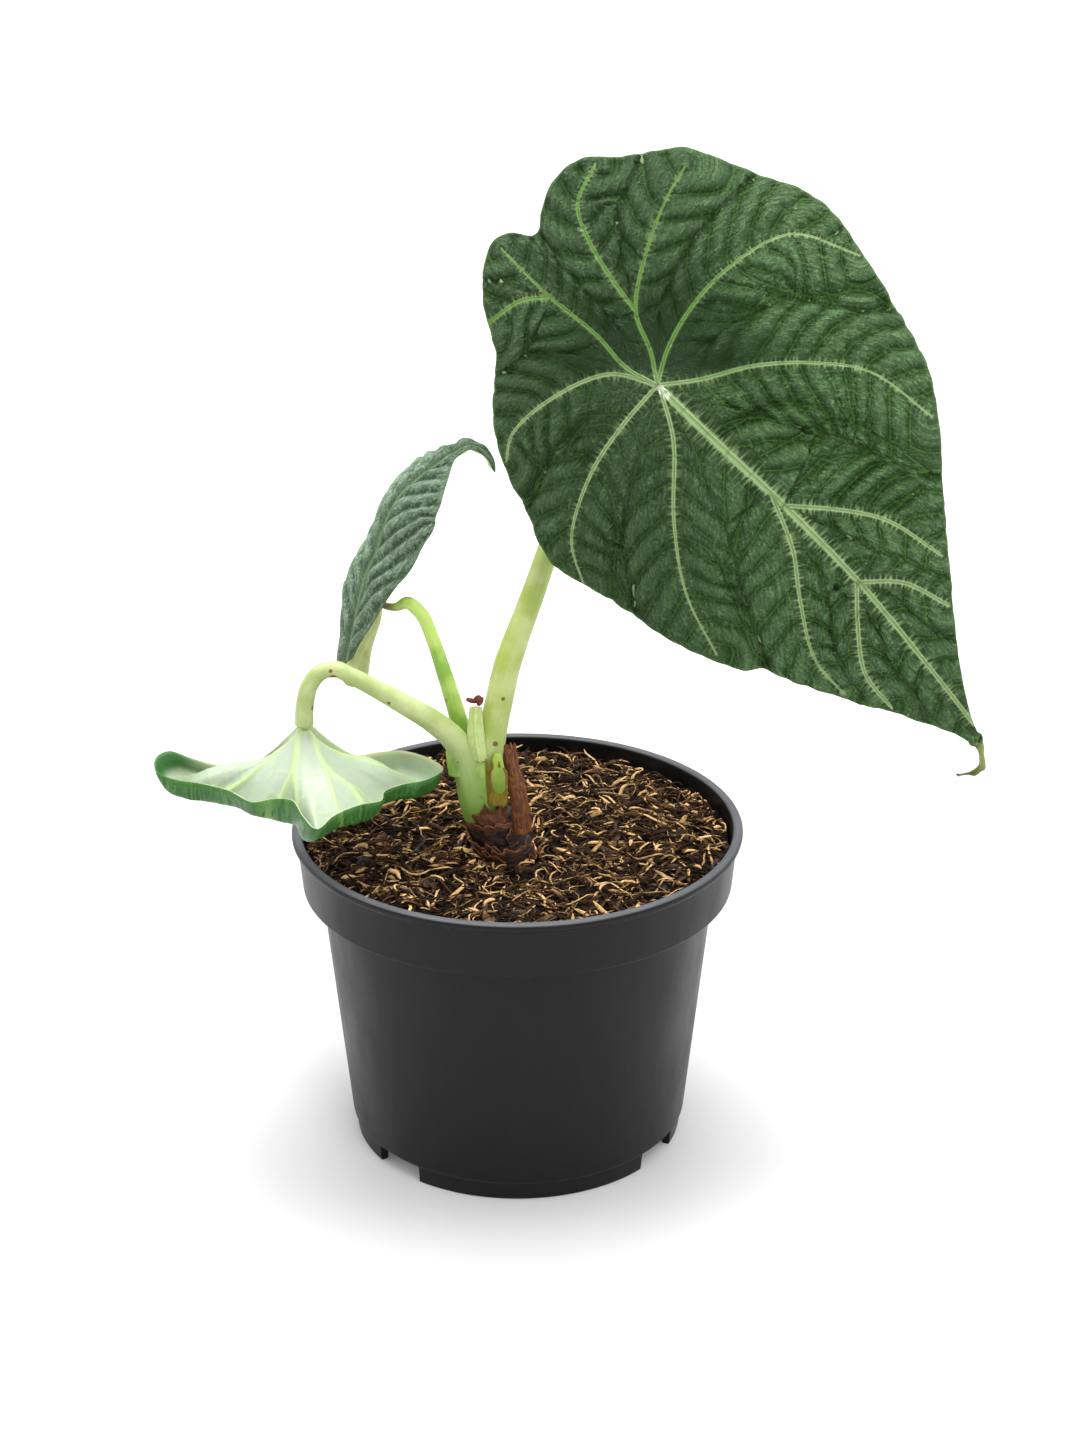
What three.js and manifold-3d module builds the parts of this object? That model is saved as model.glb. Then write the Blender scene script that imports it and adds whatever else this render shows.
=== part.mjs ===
// Potted young maharani alocasia in a 12 cm nursery pot.
// Millimetres, +Z up, origin at the centre of the pot's base. The plant is looked at from -Y.

import * as THREE from 'three';
import { mergeVertices } from 'three/addons/utils/BufferGeometryUtils.js';
import Module from 'manifold-3d';

const wasm = await Module();
wasm.setup();

// Driving dimensions
const GAP = 0.3;

const POT = {
  height: 89.2,
  rimRadius: 60,
  lipHeight: 2.2,
  lipInset: 1.4,
  bandBottom: 73.4,
  bandBottomRadius: 57.4,
  bodyTopRadius: 52.6,
  bodyBottomRadius: 45.6,
  footHeight: 5.6,
  footRadius: 44.4,
  floor: 5,
  wall: 1.5,
  lipWidth: 2.1,
  footWall: 2,
  padRadius: 20,
  taper: 0.4,
  rounding: 0.6,
  cornerRounding: 1.6,
  segments: 48,
};
const FOOT_NOTCH = { angles: [-136, -32, 44, 148], width: 15, height: 5, depth: 9 };
const DRAIN = { radius: 4, ring: 34, length: 12, sides: 12 };

const SOIL = { top: 85.2, relief: 0.9, edgeDrop: 0.6, rings: 6, segments: 32, seed: 11 };
const CHIPS = {
  count: 60, length: [6, 14], radii: [0.35, 1.05, 0.35], lift: [0.3, 1.2], clearOfWall: 6, clearOfStem: 15,
};

const BLADE = {
  thickness: 0.7, veinWidth: 5, junctionFlat: 5, marginFade: 0.12, marginRelief: 0.3, normalStep: 0.04,
  leastSlant: 0.35,
};

const RHIZOME_PATH = [
  [0, -11, 50], [-1, -12, 68], [-2.4, -12.5, 82.4], [-3.2, -12.6, 87.2], [-5, -12.8, 91.6], [-7.3, -13, 97.5],
];
const RHIZOME_RADII = [2.2, 5.5, 7.6, 7.4, 6.5, 5.8];

const STEM_PATH = [
  [-7.6, -13, 96.7], [-9.1, -13, 101.8], [-10.1, -13, 107.6], [-10, -12.8, 111.8], [-9, -12.4, 115.3],
];
const STEM_RADII = [5.1, 5.4, 5.5, 5.5, 4.6];

const PETIOLE_1_PATH = [
  [-7.7, -12.3, 110.5], [-6.6, -12, 119.9], [-4.4, -11, 129.9], [-2.4, -9.6, 138.5], [-0.3, -8, 144.5],
  [4.6, -5.5, 157.6], [8.3, -4, 168.4], [13.6, -2.4, 182], [19.8, -1.8, 197], [27, -4, 208.5],
  [33.4, -10, 213.8], [35.6, -17, 215.9], [34.65, -24.2, 217.75],
];
const PETIOLE_1_RADII = [3.6, 3.7, 3.6, 3.5, 3.3, 3, 2.8, 2.7, 2.6, 2.5, 2.4, 2.3, 2.1];

const PETIOLE_2_PATH = [
  [-12.2, -9.5, 110.3], [-13.2, -9, 114.9], [-15.1, -7.4, 122.2], [-18.8, -4.5, 134.2], [-21.7, -1.5, 142.2],
  [-24.5, 1, 148.1], [-28.1, 3, 150.7], [-31.4, 5.6, 148.6], [-34.8, 8.8, 147.9], [-37.8, 10.9, 149.8],
  [-39.9, 10.3, 151],
];
const PETIOLE_2_RADII = [2.5, 2.4, 2.3, 2.0, 1.8, 1.8, 1.8, 1.4, 1.1, 1, 0.9];

const PETIOLE_3_PATH = [
  [-12.7, -13, 111], [-16.1, -13.8, 119.4], [-22.3, -15, 125.6], [-28.5, -15.8, 129.9], [-36.6, -17, 135.5],
  [-42.1, -18, 139.1], [-45.7, -18.6, 141.2], [-49.4, -19, 140.8], [-52.3, -19, 137.6], [-53.9, -19, 132.4],
  [-54.5, -18.8, 125.6],
];
const PETIOLE_3_RADII = [3.7, 3.4, 3, 2.7, 2.4, 2.2, 2.2, 2.2, 2.2, 2.3, 2.5];

// Small growth round the stem: a cut-back sheath with its withered tip, a bud, a dry strip and a papery scale
const SHEATH_STUB_PATH = [[-9.9, -16.9, 114.6], [-10.4, -16, 121.7], [-10.4, -14.6, 129]];
const SHEATH_TIP_PATH = [[-12.6, -15.4, 130.4], [-10.6, -15, 130.5], [-8.6, -15, 131.4]];
const BUD_PATH = [[-5.1, -18, 107], [-5.1, -18, 112.7], [-5, -17, 116.8]];
const DRY_SHEATH_PATH = [[1.3, -15.6, 98.7], [0.6, -14.6, 105.5], [-1.2, -13, 111.9], [-2.8, -12, 117.7]];
const PAPERY_SCALE_PATH = [[-3.2, -18.9, 101.5], [-6.2, -19.8, 104], [-10, -19.2, 102.5]];
const GROWTH_RADII = {
  stub: [1.9, 1.9, 1.3], tip: [0.7, 1.0, 1.1], bud: [1.7, 1.9, 0.8], strip: [1.8, 2, 1.9, 1.4],
  scale: [1.4, 2.4, 1.2],
};

// How finely each rod is drawn, and how flat the small growth is
const ROD_SHAPE = {
  rhizome: { sides: 14, steps: 10 },
  stem: { sides: 14, steps: 6 },
  petiole1: { sides: 10, steps: 20 },
  petiole2: { sides: 10, steps: 18 },
  petiole3: { sides: 10, steps: 20 },
  stub: { sides: 8, steps: 5, depth: 0.55 },
  tip: { sides: 6, steps: 4, facing: [0, 0, 1] },
  bud: { sides: 8, steps: 5, depth: 0.8 },
  strip: { sides: 8, steps: 6, depth: 0.4 },
  scale: { sides: 8, steps: 4, depth: 0.35 },
  chip: { sides: 3, steps: 2, facing: [0, 0, 1] },
};

// Leaf 1 hangs from its junction. U runs down the midrib to the tip, V to the upper side, W out of its face.
const LEAF_1_JUNCTION = new THREE.Vector3(34.5, -25, 218);
const LEAF_1_SLOPE = THREE.MathUtils.degToRad(48);
const LEAF_1_LEAN = THREE.MathUtils.degToRad(23.5);
const LEAF_1_TURN = THREE.MathUtils.degToRad(12);
const LEAF_1_ARCH = { across: 115, towardTip: 300, towardLobes: 160 };
const LEAF_1_WAVE = { height: 1.4, count: 9, turn: 1 };
const LEAF_1_TIP_CURL = { start: 117, radius: 6 };
const LEAF_1_MESH = { puff: 2.2, rings: 12, spokes: 76 };
const LEAF_1_OUTLINE = [
  [-47.4, 3], [-50.4, 6.5], [-52.7, 10], [-54.4, 15.5], [-53.6, 22.3], [-47.1, 29.8], [-43.2, 35.4],
  [-39, 42], [-33.9, 44.9], [-21.4, 51], [-11.6, 56], [-1.9, 58], [15.7, 55.8], [30.2, 52.7], [40.6, 50],
  [51.5, 44], [66.5, 32], [81.6, 21], [97.6, 9.3], [108.3, 2.8], [113.6, 0.1], [119, -1.3], [132, -2.4],
  [119, -3.7], [112.4, -5.2], [99.5, -11.9], [89.8, -18], [77.5, -24.5], [67.7, -29.6], [65.4, -32.6],
  [58.2, -36.8], [43.2, -42], [31.3, -45], [20, -49], [13, -49.8], [0.4, -45.7], [-11.6, -42.4],
  [-20.7, -36.8], [-27.4, -30.5], [-33, -24.6], [-42.3, -20], [-50.7, -13], [-54, -8], [-52.6, -3],
  [-48.2, 0.5],
];
const LEAF_1_VEINS = [
  [[0, 0], [21.7, 1.5], [45.2, 3.2], [69.6, 3.6], [98.3, 1.6], [114, 0]],
  [[0, 0], [-7, 4.2], [-16.8, 8], [-26.5, 20.5], [-32, 30.8], [-35, 39.4]],
  [[-16.8, 8], [-25, 8.6], [-36.7, 10.5], [-45.7, 14.2], [-50.3, 23.5]],
  [[0, 0], [-4.4, 7], [-8, 17], [-9.5, 31], [-5.6, 47.3], [9.2, 56]],
  [[0, 0], [6, 8.7], [12.2, 20.2], [21.2, 31], [32.2, 39.6], [50, 43.2]],
  [[42, 3], [52, 12.2], [61.2, 18.5], [76.6, 22.4]],
  [[68, 3.6], [75.6, 11.4], [86.7, 15.4]],
  [[0, 0], [-8.4, -2.8], [-18.6, -2.9], [-33.9, -5.4], [-51, -7]],
  [[-33.8, -5.6], [-38, -11.7], [-39.5, -20.6]],
  [[0, 0], [-9.7, -6.6], [-15, -20.5], [-15.7, -35], [-12, -41]],
  [[0, 0], [1.4, -13], [4.8, -27], [13.2, -42], [23, -47.8]],
  [[1, 0], [12.4, -6], [26.9, -19.4], [42.2, -29.7], [58.3, -34.7]],
  [[38, 2.6], [51.4, -2.7], [62, -10], [75.4, -17.5], [86.4, -18.3]],
  [[68, 3], [76.6, -4.4], [86.2, -10.8], [97, -12]],
];

// Leaf 2 stands on edge: its midrib follows a spine at one Y, and its halves wrap round to the right.
const LEAF_2_PLANE_Y = 10;
const LEAF_2_SPINE = [
  [-45.8, 120], [-45.6, 126], [-44.9, 130.7], [-42.8, 140.4], [-40.5, 151.3], [-38.8, 156.6], [-36, 162.7],
  [-33.5, 170.7], [-30, 177.3], [-25.3, 182], [-20, 186.2], [-15.5, 189.4], [-11.9, 191], [-8.6, 189.7],
  [-6.5, 187], [-5.4, 183],
];
const LEAF_2_JUNCTION_STEP = 4;
const LEAF_2_WRAP_RADIUS = { near: 24, far: 14 };
const LEAF_2_NEAR_ROLL = 28;
// Roll of the far half in degrees, at steps along the midrib
const LEAF_2_FAR_ROLL = [[-30, 20], [-12, 36], [0, 45], [10, 42], [20, 32], [32, 38], [45, 44], [62, 45]];
const LEAF_2_EDGE_RISE = THREE.MathUtils.degToRad(20);
const LEAF_2_MESH = { puff: 1.6, rings: 8, spokes: 48 };
const LEAF_2_OUTLINE = [
  [-20.3, 0], [-19.4, 2], [-14, 4.6], [-5.5, 9.2], [4.4, 12.8], [14, 15.2], [24, 16.8], [33, 14.4],
  [39.2, 9.9], [43, 6], [45.6, 3.2], [49, 2], [55, 1.5], [61.5, 0], [55, -1.8], [49, -3.2], [44, -7],
  [38, -12], [28, -19.5],
  [15, -26], [4, -27.5], [-6, -26.5], [-16, -22.5], [-25.5, -19.5], [-28.3, -17], [-27.8, -11], [-24, -5],
];
const LEAF_2_VEINS = [
  [[0, 0], [20, 0.3], [40, 0.3], [60, 0]],
  [[0, 0], [8, 6], [18, 15]],
  [[12, 0], [20, 6], [30, 14]],
  [[24, 0], [31, 5], [37, 10]],
  [[0, 0], [-2, 5], [-4, 9]],
  [[0, 0], [-9, 2], [-17, 2.6]],
  [[0, 0], [6, -9], [18, -20]],
  [[12, 0], [22, -8], [32, -14]],
  [[24, 0], [33, -5], [39, -9]],
  [[0, 0], [-6, -12], [-4, -23]],
  [[0, 0], [-10, -6], [-20, -14], [-24, -20]],
];

// Leaf 3 hangs upside down under its petiole, like a small tray with a raised rim.
const LEAF_3_JUNCTION = new THREE.Vector3(-54.5, -18.8, 124.8);
const LEAF_3_BELL = { drop: 13, reach: 8 };
// Depth of the valley behind the rim in each direction from the junction, in degrees from +X round by +Y
const LEAF_3_DIP = [
  [90, 0], [150, 0.5], [162, 6], [180, 6], [200, 5], [223, 5], [240, 7.5], [262, 8], [274, 7], [280, 3.5],
  [290, 5.5], [308, 6], [325, 5.5], [343, 5.5], [358, 4.5], [372, 6], [392, 6], [440, 0],
];
const LEAF_3_DIP_START = 85;
const LEAF_3_DIP_SHARPNESS = 7;
const LEAF_3_MESH = { rings: 8, spokes: 56 };
const LEAF_3_RIM = [
  [-54.1, -15, 125.2], [-51.6, -15.2, 123.1], [-47.4, -12.7, 118], [-41.9, -9.1, 113], [-35.7, -5.8, 112.4],
  [-29.7, -3.5, 111.6], [-23.3, -5.5, 110.5], [-19.2, -11.5, 110], [-23.7, -17.2, 109.5], [-29, -19.7, 109.5],
  [-33.7, -25, 110], [-34.4, -33, 111], [-39.6, -37.8, 112], [-45.7, -44.3, 112], [-49.4, -49.8, 111],
  [-53.2, -44.3, 112], [-56.6, -36, 112.5], [-62, -32, 111], [-67, -30.7, 109.5], [-74.2, -22.3, 109],
  [-82.2, -17, 108.5], [-88.7, -15.2, 108.7], [-93.7, -12.7, 110], [-94, -8.2, 112], [-91, -6.6, 113],
  [-84.9, -7.4, 111.2], [-77.9, -8.9, 110.1], [-70.8, -10.9, 110.8], [-66.6, -12.2, 113.3], [-62.9, -13.5, 116.5],
  [-58.7, -15.4, 121.4],
];

// Seeded random numbers between 0 and 1
function randomSource(seed) {
  let state = seed;
  return () => {
    state = (state * 1664525 + 1013904223) % 4294967296;
    return state / 4294967296;
  };
}

// Value at x on the straight lines through the given [x, value] pairs
function between(pairs, x) {
  const next = Math.max(1, pairs.findIndex(([at]) => at >= x));
  const [[x0, y0], [x1, y1]] = [pairs[next - 1], pairs[next]];
  return THREE.MathUtils.mapLinear(THREE.MathUtils.clamp(x, x0, x1), x0, x1, y0, y1);
}

const vectors = (points) => points.map((p) => new THREE.Vector3(...p));

function material(color, roughness) {
  return new THREE.MeshStandardMaterial({ color, roughness, metalness: 0 });
}

function geometryFrom(positions, indices) {
  const geometry = new THREE.BufferGeometry();
  geometry.setAttribute('position', new THREE.Float32BufferAttribute(positions, 3));
  geometry.setIndex(indices);
  return geometry;
}

// Booleans on closed meshes
function solid(geometry) {
  const bare = geometry.clone();
  bare.deleteAttribute('normal');
  bare.deleteAttribute('uv');
  const merged = mergeVertices(bare, 1e-3);
  return new wasm.Manifold(new wasm.Mesh({
    numProp: 3,
    vertProperties: Float32Array.from(merged.attributes.position.array),
    triVerts: Uint32Array.from(merged.index.array),
  }));
}

function geometryOf(manifold) {
  const mesh = manifold.getMesh();
  return geometryFrom(Array.from(mesh.vertProperties), Array.from(mesh.triVerts));
}

function cut(geometry, ...tools) {
  return geometryOf(tools.reduce((body, tool) => body.subtract(solid(tool)), solid(geometry)));
}

// Round or flattened rod along a smooth path, its radius eased between the given values, closed by flat ends.
// `depth` flattens the section, and `grow` makes the whole rod thicker and longer.
function rod(path, radii, { sides, steps, grow = 0, depth = 1, facing = [0, -1, 0] }) {
  const curve = new THREE.CatmullRomCurve3(vectors(path), false, 'centripetal');
  const radiusCurve = new THREE.CatmullRomCurve3(radii.map((r, i) => new THREE.Vector3(i, r, 0)));
  const front = new THREE.Vector3(...facing);
  const positions = [];
  const indices = [];
  for (let i = 0; i <= steps; i++) {
    const t = i / steps;
    const centre = curve.getPoint(t);
    const tangent = curve.getTangent(t);
    const radius = radiusCurve.getPoint(t).y;
    const side = new THREE.Vector3().crossVectors(tangent, front).normalize();
    const outward = new THREE.Vector3().crossVectors(side, tangent);
    const pushed = grow === 0 || (i > 0 && i < steps) ? 0 : grow * (i === 0 ? -1 : 1);
    for (let k = 0; k < sides; k++) {
      const angle = (2 * Math.PI * k) / sides;
      const point = centre.clone()
        .addScaledVector(side, (radius + grow) * Math.cos(angle))
        .addScaledVector(outward, (radius * depth + grow) * Math.sin(angle))
        .addScaledVector(tangent, pushed);
      positions.push(...point);
    }
  }
  const at = (i, k) => i * sides + (k % sides);
  for (let i = 0; i < steps; i++) {
    for (let k = 0; k < sides; k++) {
      indices.push(at(i, k), at(i, k + 1), at(i + 1, k + 1), at(i, k), at(i + 1, k + 1), at(i + 1, k));
    }
  }
  for (let k = 1; k < sides - 1; k++) {
    indices.push(at(0, 0), at(0, k + 1), at(0, k), at(steps, 0), at(steps, k), at(steps, k + 1));
  }
  return outwardFacing(geometryFrom(positions, indices));
}

// Turns every triangle over when the closed mesh encloses a negative volume
function outwardFacing(geometry) {
  const p = geometry.attributes.position;
  const index = geometry.index.array;
  const [a, b, c] = [new THREE.Vector3(), new THREE.Vector3(), new THREE.Vector3()];
  let volume = 0;
  for (let i = 0; i < index.length; i += 3) {
    a.fromBufferAttribute(p, index[i]);
    b.fromBufferAttribute(p, index[i + 1]);
    c.fromBufferAttribute(p, index[i + 2]);
    volume += a.dot(b.cross(c));
  }
  if (volume < 0) {
    for (let i = 0; i < index.length; i += 3) {
      [index[i + 1], index[i + 2]] = [index[i + 2], index[i + 1]];
    }
  }
  return geometry;
}

// Pot: a turned shell with a lip, a banded rim and a foot ring, notched and drained
function potGeometry() {
  const { height, rimRadius, lipHeight, lipInset, bandBottom, bandBottomRadius, wall, floor } = POT;
  const { bodyTopRadius, bodyBottomRadius, footHeight, footRadius, footWall, padRadius, lipWidth } = POT;
  const { taper, rounding, cornerRounding } = POT;
  const lipBottom = height - lipHeight;
  const floorTop = floor + wall;
  const profile = [
    [0, 0], [padRadius, 0], [padRadius + taper, floor], [footRadius - footWall - taper, floor],
    [footRadius - footWall, 0], [footRadius, 0], [footRadius + taper, footHeight - rounding],
    [bodyBottomRadius, footHeight], [bodyTopRadius, bandBottom - rounding],
    [bandBottomRadius - taper, bandBottom - taper], [bandBottomRadius, bandBottom],
    [rimRadius - lipInset, lipBottom - rounding], [rimRadius - taper, lipBottom],
    [rimRadius, lipBottom + rounding],
    [rimRadius, height - rounding], [rimRadius - rounding, height], [rimRadius - lipWidth, height],
    [rimRadius - lipWidth - rounding, height - rounding],
    [bandBottomRadius - wall + rounding, bandBottom + cornerRounding],
    [bodyTopRadius - wall + taper, bandBottom - rounding],
    [bodyBottomRadius - wall, floorTop + cornerRounding],
    [bodyBottomRadius - wall - cornerRounding, floorTop],
    [0, floorTop],
  ];
  const shell = new THREE.LatheGeometry(profile.map((p) => new THREE.Vector2(...p)), POT.segments);
  shell.rotateX(Math.PI / 2);
  const tools = FOOT_NOTCH.angles.flatMap((degrees) => {
    const notch = new THREE.BoxGeometry(FOOT_NOTCH.depth, FOOT_NOTCH.width, FOOT_NOTCH.height * 2);
    notch.translate(footRadius, 0, 0);
    const drain = new THREE.CylinderGeometry(DRAIN.radius, DRAIN.radius, DRAIN.length, DRAIN.sides);
    drain.rotateX(Math.PI / 2).translate(DRAIN.ring, 0, floor);
    return [notch, drain].map((tool) => tool.rotateZ(THREE.MathUtils.degToRad(degrees)));
  });
  return cut(outwardFacing(mergeVertices(bareGeometry(shell), 1e-3)), ...tools);
}

function bareGeometry(geometry) {
  geometry.deleteAttribute('normal');
  geometry.deleteAttribute('uv');
  return geometry;
}

// Soil: a turned plug with an uneven top, curled chips sunk into it and a hole for the rhizome
function soilGeometry() {
  const { top, relief, edgeDrop, rings, segments, seed } = SOIL;
  const random = randomSource(seed);
  const { bandBottom, bandBottomRadius, bodyTopRadius, bodyBottomRadius, wall, floor } = POT;
  const { taper, rounding, cornerRounding } = POT;
  const topRadius = bandBottomRadius - wall + rounding + taper - GAP;
  const sides = [
    [bodyBottomRadius - wall - cornerRounding - GAP, floor + wall + GAP],
    [bodyBottomRadius - wall - GAP, floor + wall + cornerRounding + GAP],
    [bodyTopRadius - wall + taper / 2 - GAP, bandBottom - rounding],
    [bandBottomRadius - wall + taper - GAP, bandBottom + cornerRounding + rounding],
  ];
  const positions = [0, 0, sides[0][1]];
  const indices = [];
  const ring = (radius, height) => {
    const first = positions.length / 3;
    for (let k = 0; k < segments; k++) {
      const angle = (2 * Math.PI * k) / segments;
      positions.push(radius * Math.cos(angle), radius * Math.sin(angle), height(k));
    }
    return first;
  };
  const starts = sides.map(([radius, z]) => ring(radius, () => z));
  starts.push(ring(topRadius, () => top - edgeDrop));
  for (let i = rings - 1; i > 0; i--) {
    starts.push(ring((topRadius * i) / rings, () => top + relief * (random() - 0.5)));
  }
  const crown = positions.length / 3;
  positions.push(0, 0, top);
  for (let k = 0; k < segments; k++) {
    const next = (k + 1) % segments;
    indices.push(0, starts[0] + next, starts[0] + k);
    for (let i = 0; i < starts.length - 1; i++) {
      const [low, high] = [starts[i], starts[i + 1]];
      indices.push(low + k, low + next, high + next, low + k, high + next, high + k);
    }
    const last = starts[starts.length - 1];
    indices.push(last + k, last + next, crown);
  }
  let body = solid(outwardFacing(geometryFrom(positions, indices)));
  const foot = new THREE.Vector2(RHIZOME_PATH[2][0], RHIZOME_PATH[2][1]);
  for (let made = 0; made < CHIPS.count;) {
    const radius = (topRadius - CHIPS.clearOfWall) * Math.sqrt(random());
    const angle = 2 * Math.PI * random();
    const heading = Math.PI * random();
    const length = THREE.MathUtils.lerp(...CHIPS.length, random());
    const lift = THREE.MathUtils.lerp(...CHIPS.lift, random());
    const bow = random() - 0.5;
    const place = new THREE.Vector2(radius * Math.cos(angle), radius * Math.sin(angle));
    if (place.distanceTo(foot) > CHIPS.clearOfStem) {
      body = body.add(solid(chipGeometry(place, heading, length, lift, bow)));
      made += 1;
    }
  }
  return geometryOf(body.subtract(solid(rhizomeRod(GAP))));
}

// One curled chip: a thin arch with both ends and its flanks under the soil's surface
function chipGeometry(place, heading, length, lift, bow) {
  const along = new THREE.Vector2(Math.cos(heading), Math.sin(heading)).multiplyScalar(length / 2);
  const path = [-1, 0, 1].map((s) => [
    place.x + s * along.x - bow * (1 - s * s) * along.y,
    place.y + s * along.y + bow * (1 - s * s) * along.x,
    SOIL.top + (s === 0 ? lift : -SOIL.edgeDrop),
  ]);
  return rod(path, CHIPS.radii, ROD_SHAPE.chip);
}

// Blade: a fan of points from the junction to the outline, the same on both faces. `place` carries a point of
// the flat pattern into space, and the relief sinks the veins and lifts the panels between them. The two faces
// are set off along the surface's own normal, or both along `lift`, which keeps them clear of each other in folds.
function bladeGeometry({ outline, place, relief, rings, spokes, lift = null }) {
  const knots = vectors(outline.map(([x, y, z = 0]) => [x, y, z]));
  const rim = new THREE.CatmullRomCurve3(knots, true, 'centripetal').getSpacedPoints(spokes).slice(0, spokes);
  const half = BLADE.thickness / 2;
  const middle = (fraction, spoke) => place(rim[(spoke + spokes) % spokes], fraction);
  const positions = { upper: [], lower: [] };
  const addPoint = (centre, direction, raise, slant = 1) => {
    positions.upper.push(...centre.clone().addScaledVector(direction, raise + half / slant));
    positions.lower.push(...centre.clone().addScaledVector(direction, raise - half / slant));
  };
  const step = BLADE.normalStep;
  const hub = middle(0, 0);
  const hubNormal = new THREE.Vector3();
  for (let k = 0; k < spokes; k++) {
    const a = middle(step, k).sub(hub);
    const b = middle(step, k + 1).sub(hub);
    hubNormal.add(a.cross(b));
  }
  addPoint(hub, lift ?? hubNormal.normalize(), relief(rim[0], 0));
  for (let i = 1; i <= rings; i++) {
    const fraction = i / rings;
    for (let k = 0; k < spokes; k++) {
      const centre = middle(fraction, k);
      const outwards = middle(Math.min(fraction + step, 1), k).sub(middle(fraction - step, k));
      const around = middle(fraction, k + 1).sub(middle(fraction, k - 1));
      const beside = [i - 1, i + 1].filter((ring) => ring <= rings);
      const slants = beside.map((ring) => Math.abs(
        middle(ring / rings, k).sub(centre).cross(around).normalize().dot(lift ?? hubNormal),
      ));
      const slant = lift ? Math.max(BLADE.leastSlant, Math.min(...slants)) : 1;
      addPoint(centre, lift ?? outwards.cross(around).normalize(), relief(rim[k], fraction), slant);
    }
  }
  const count = positions.upper.length / 3;
  const indices = [];
  const at = (i, k) => 1 + (i - 1) * spokes + (k % spokes);
  const face = (a, b, c) => indices.push(a, b, c, a + count, c + count, b + count);
  for (let k = 0; k < spokes; k++) {
    face(0, at(1, k), at(1, k + 1));
    for (let i = 1; i < rings; i++) {
      face(at(i, k), at(i + 1, k), at(i + 1, k + 1));
      face(at(i, k), at(i + 1, k + 1), at(i, k + 1));
    }
    const [a, b] = [at(rings, k), at(rings, k + 1)];
    indices.push(a, a + count, b + count, a, b + count, b);
  }
  return outwardFacing(geometryFrom([...positions.upper, ...positions.lower], indices));
}

// Height of the panels between the veins, in the flat pattern: nothing on a vein, `puff` well away from one
function veinRelief(veins, puff) {
  const lines = veins.map((points) => {
    const curve = new THREE.CatmullRomCurve3(vectors(points.map((p) => [...p, 0])), false, 'centripetal');
    return curve.getPoints(points.length * 5);
  });
  return (rimPoint, fraction) => {
    const point = new THREE.Vector3(rimPoint.x * fraction, rimPoint.y * fraction, 0);
    const nearest = Math.min(...lines.flat().map((p) => p.distanceTo(point)));
    const away = 1 - Math.exp(-((nearest / BLADE.veinWidth) ** 2));
    const clearOfHub = THREE.MathUtils.smoothstep(point.length(), BLADE.junctionFlat, BLADE.junctionFlat * 3);
    const clearOfMargin = THREE.MathUtils.smoothstep(1 - fraction, 0, BLADE.marginFade);
    return puff * away * clearOfHub * THREE.MathUtils.lerp(BLADE.marginRelief, 1, clearOfMargin);
  };
}

function leaf1Geometry() {
  const right = new THREE.Vector3(1, 0, 0);
  const up = new THREE.Vector3(0, Math.sin(LEAF_1_LEAN), Math.cos(LEAF_1_LEAN));
  const out = new THREE.Vector3(0, -Math.cos(LEAF_1_LEAN), Math.sin(LEAF_1_LEAN));
  const turned = (first, second, angle) => first.clone().multiplyScalar(Math.cos(angle))
    .addScaledVector(second, Math.sin(angle));
  const along = turned(right, up, -LEAF_1_SLOPE);
  const flank = turned(up, right, LEAF_1_SLOPE);
  const side = turned(flank, out, LEAF_1_TURN);
  const face = turned(out, flank, -LEAF_1_TURN);
  const { across, towardTip, towardLobes } = LEAF_1_ARCH;
  const { height, count, turn } = LEAF_1_WAVE;
  const { start, radius } = LEAF_1_TIP_CURL;
  const place = (rimPoint, fraction) => {
    let u = rimPoint.x * fraction;
    let v = rimPoint.y * fraction;
    const arch = (v * v) / (2 * across) + (u * u) / (2 * (u > 0 ? towardTip : towardLobes));
    const wave = height * fraction ** 4 * Math.sin(count * Math.atan2(v, u) + turn);
    const curl = Math.max(u - start, 0) / radius;
    u -= radius * (curl - Math.sin(curl));
    v -= radius * (1 - Math.cos(curl));
    return LEAF_1_JUNCTION.clone().addScaledVector(along, u).addScaledVector(side, v)
      .addScaledVector(face, (curl > 0 ? 0 : wave) - arch);
  };
  const { puff, rings, spokes } = LEAF_1_MESH;
  const relief = veinRelief(LEAF_1_VEINS, puff);
  return bladeGeometry({ outline: LEAF_1_OUTLINE, place, relief, rings, spokes });
}

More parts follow.
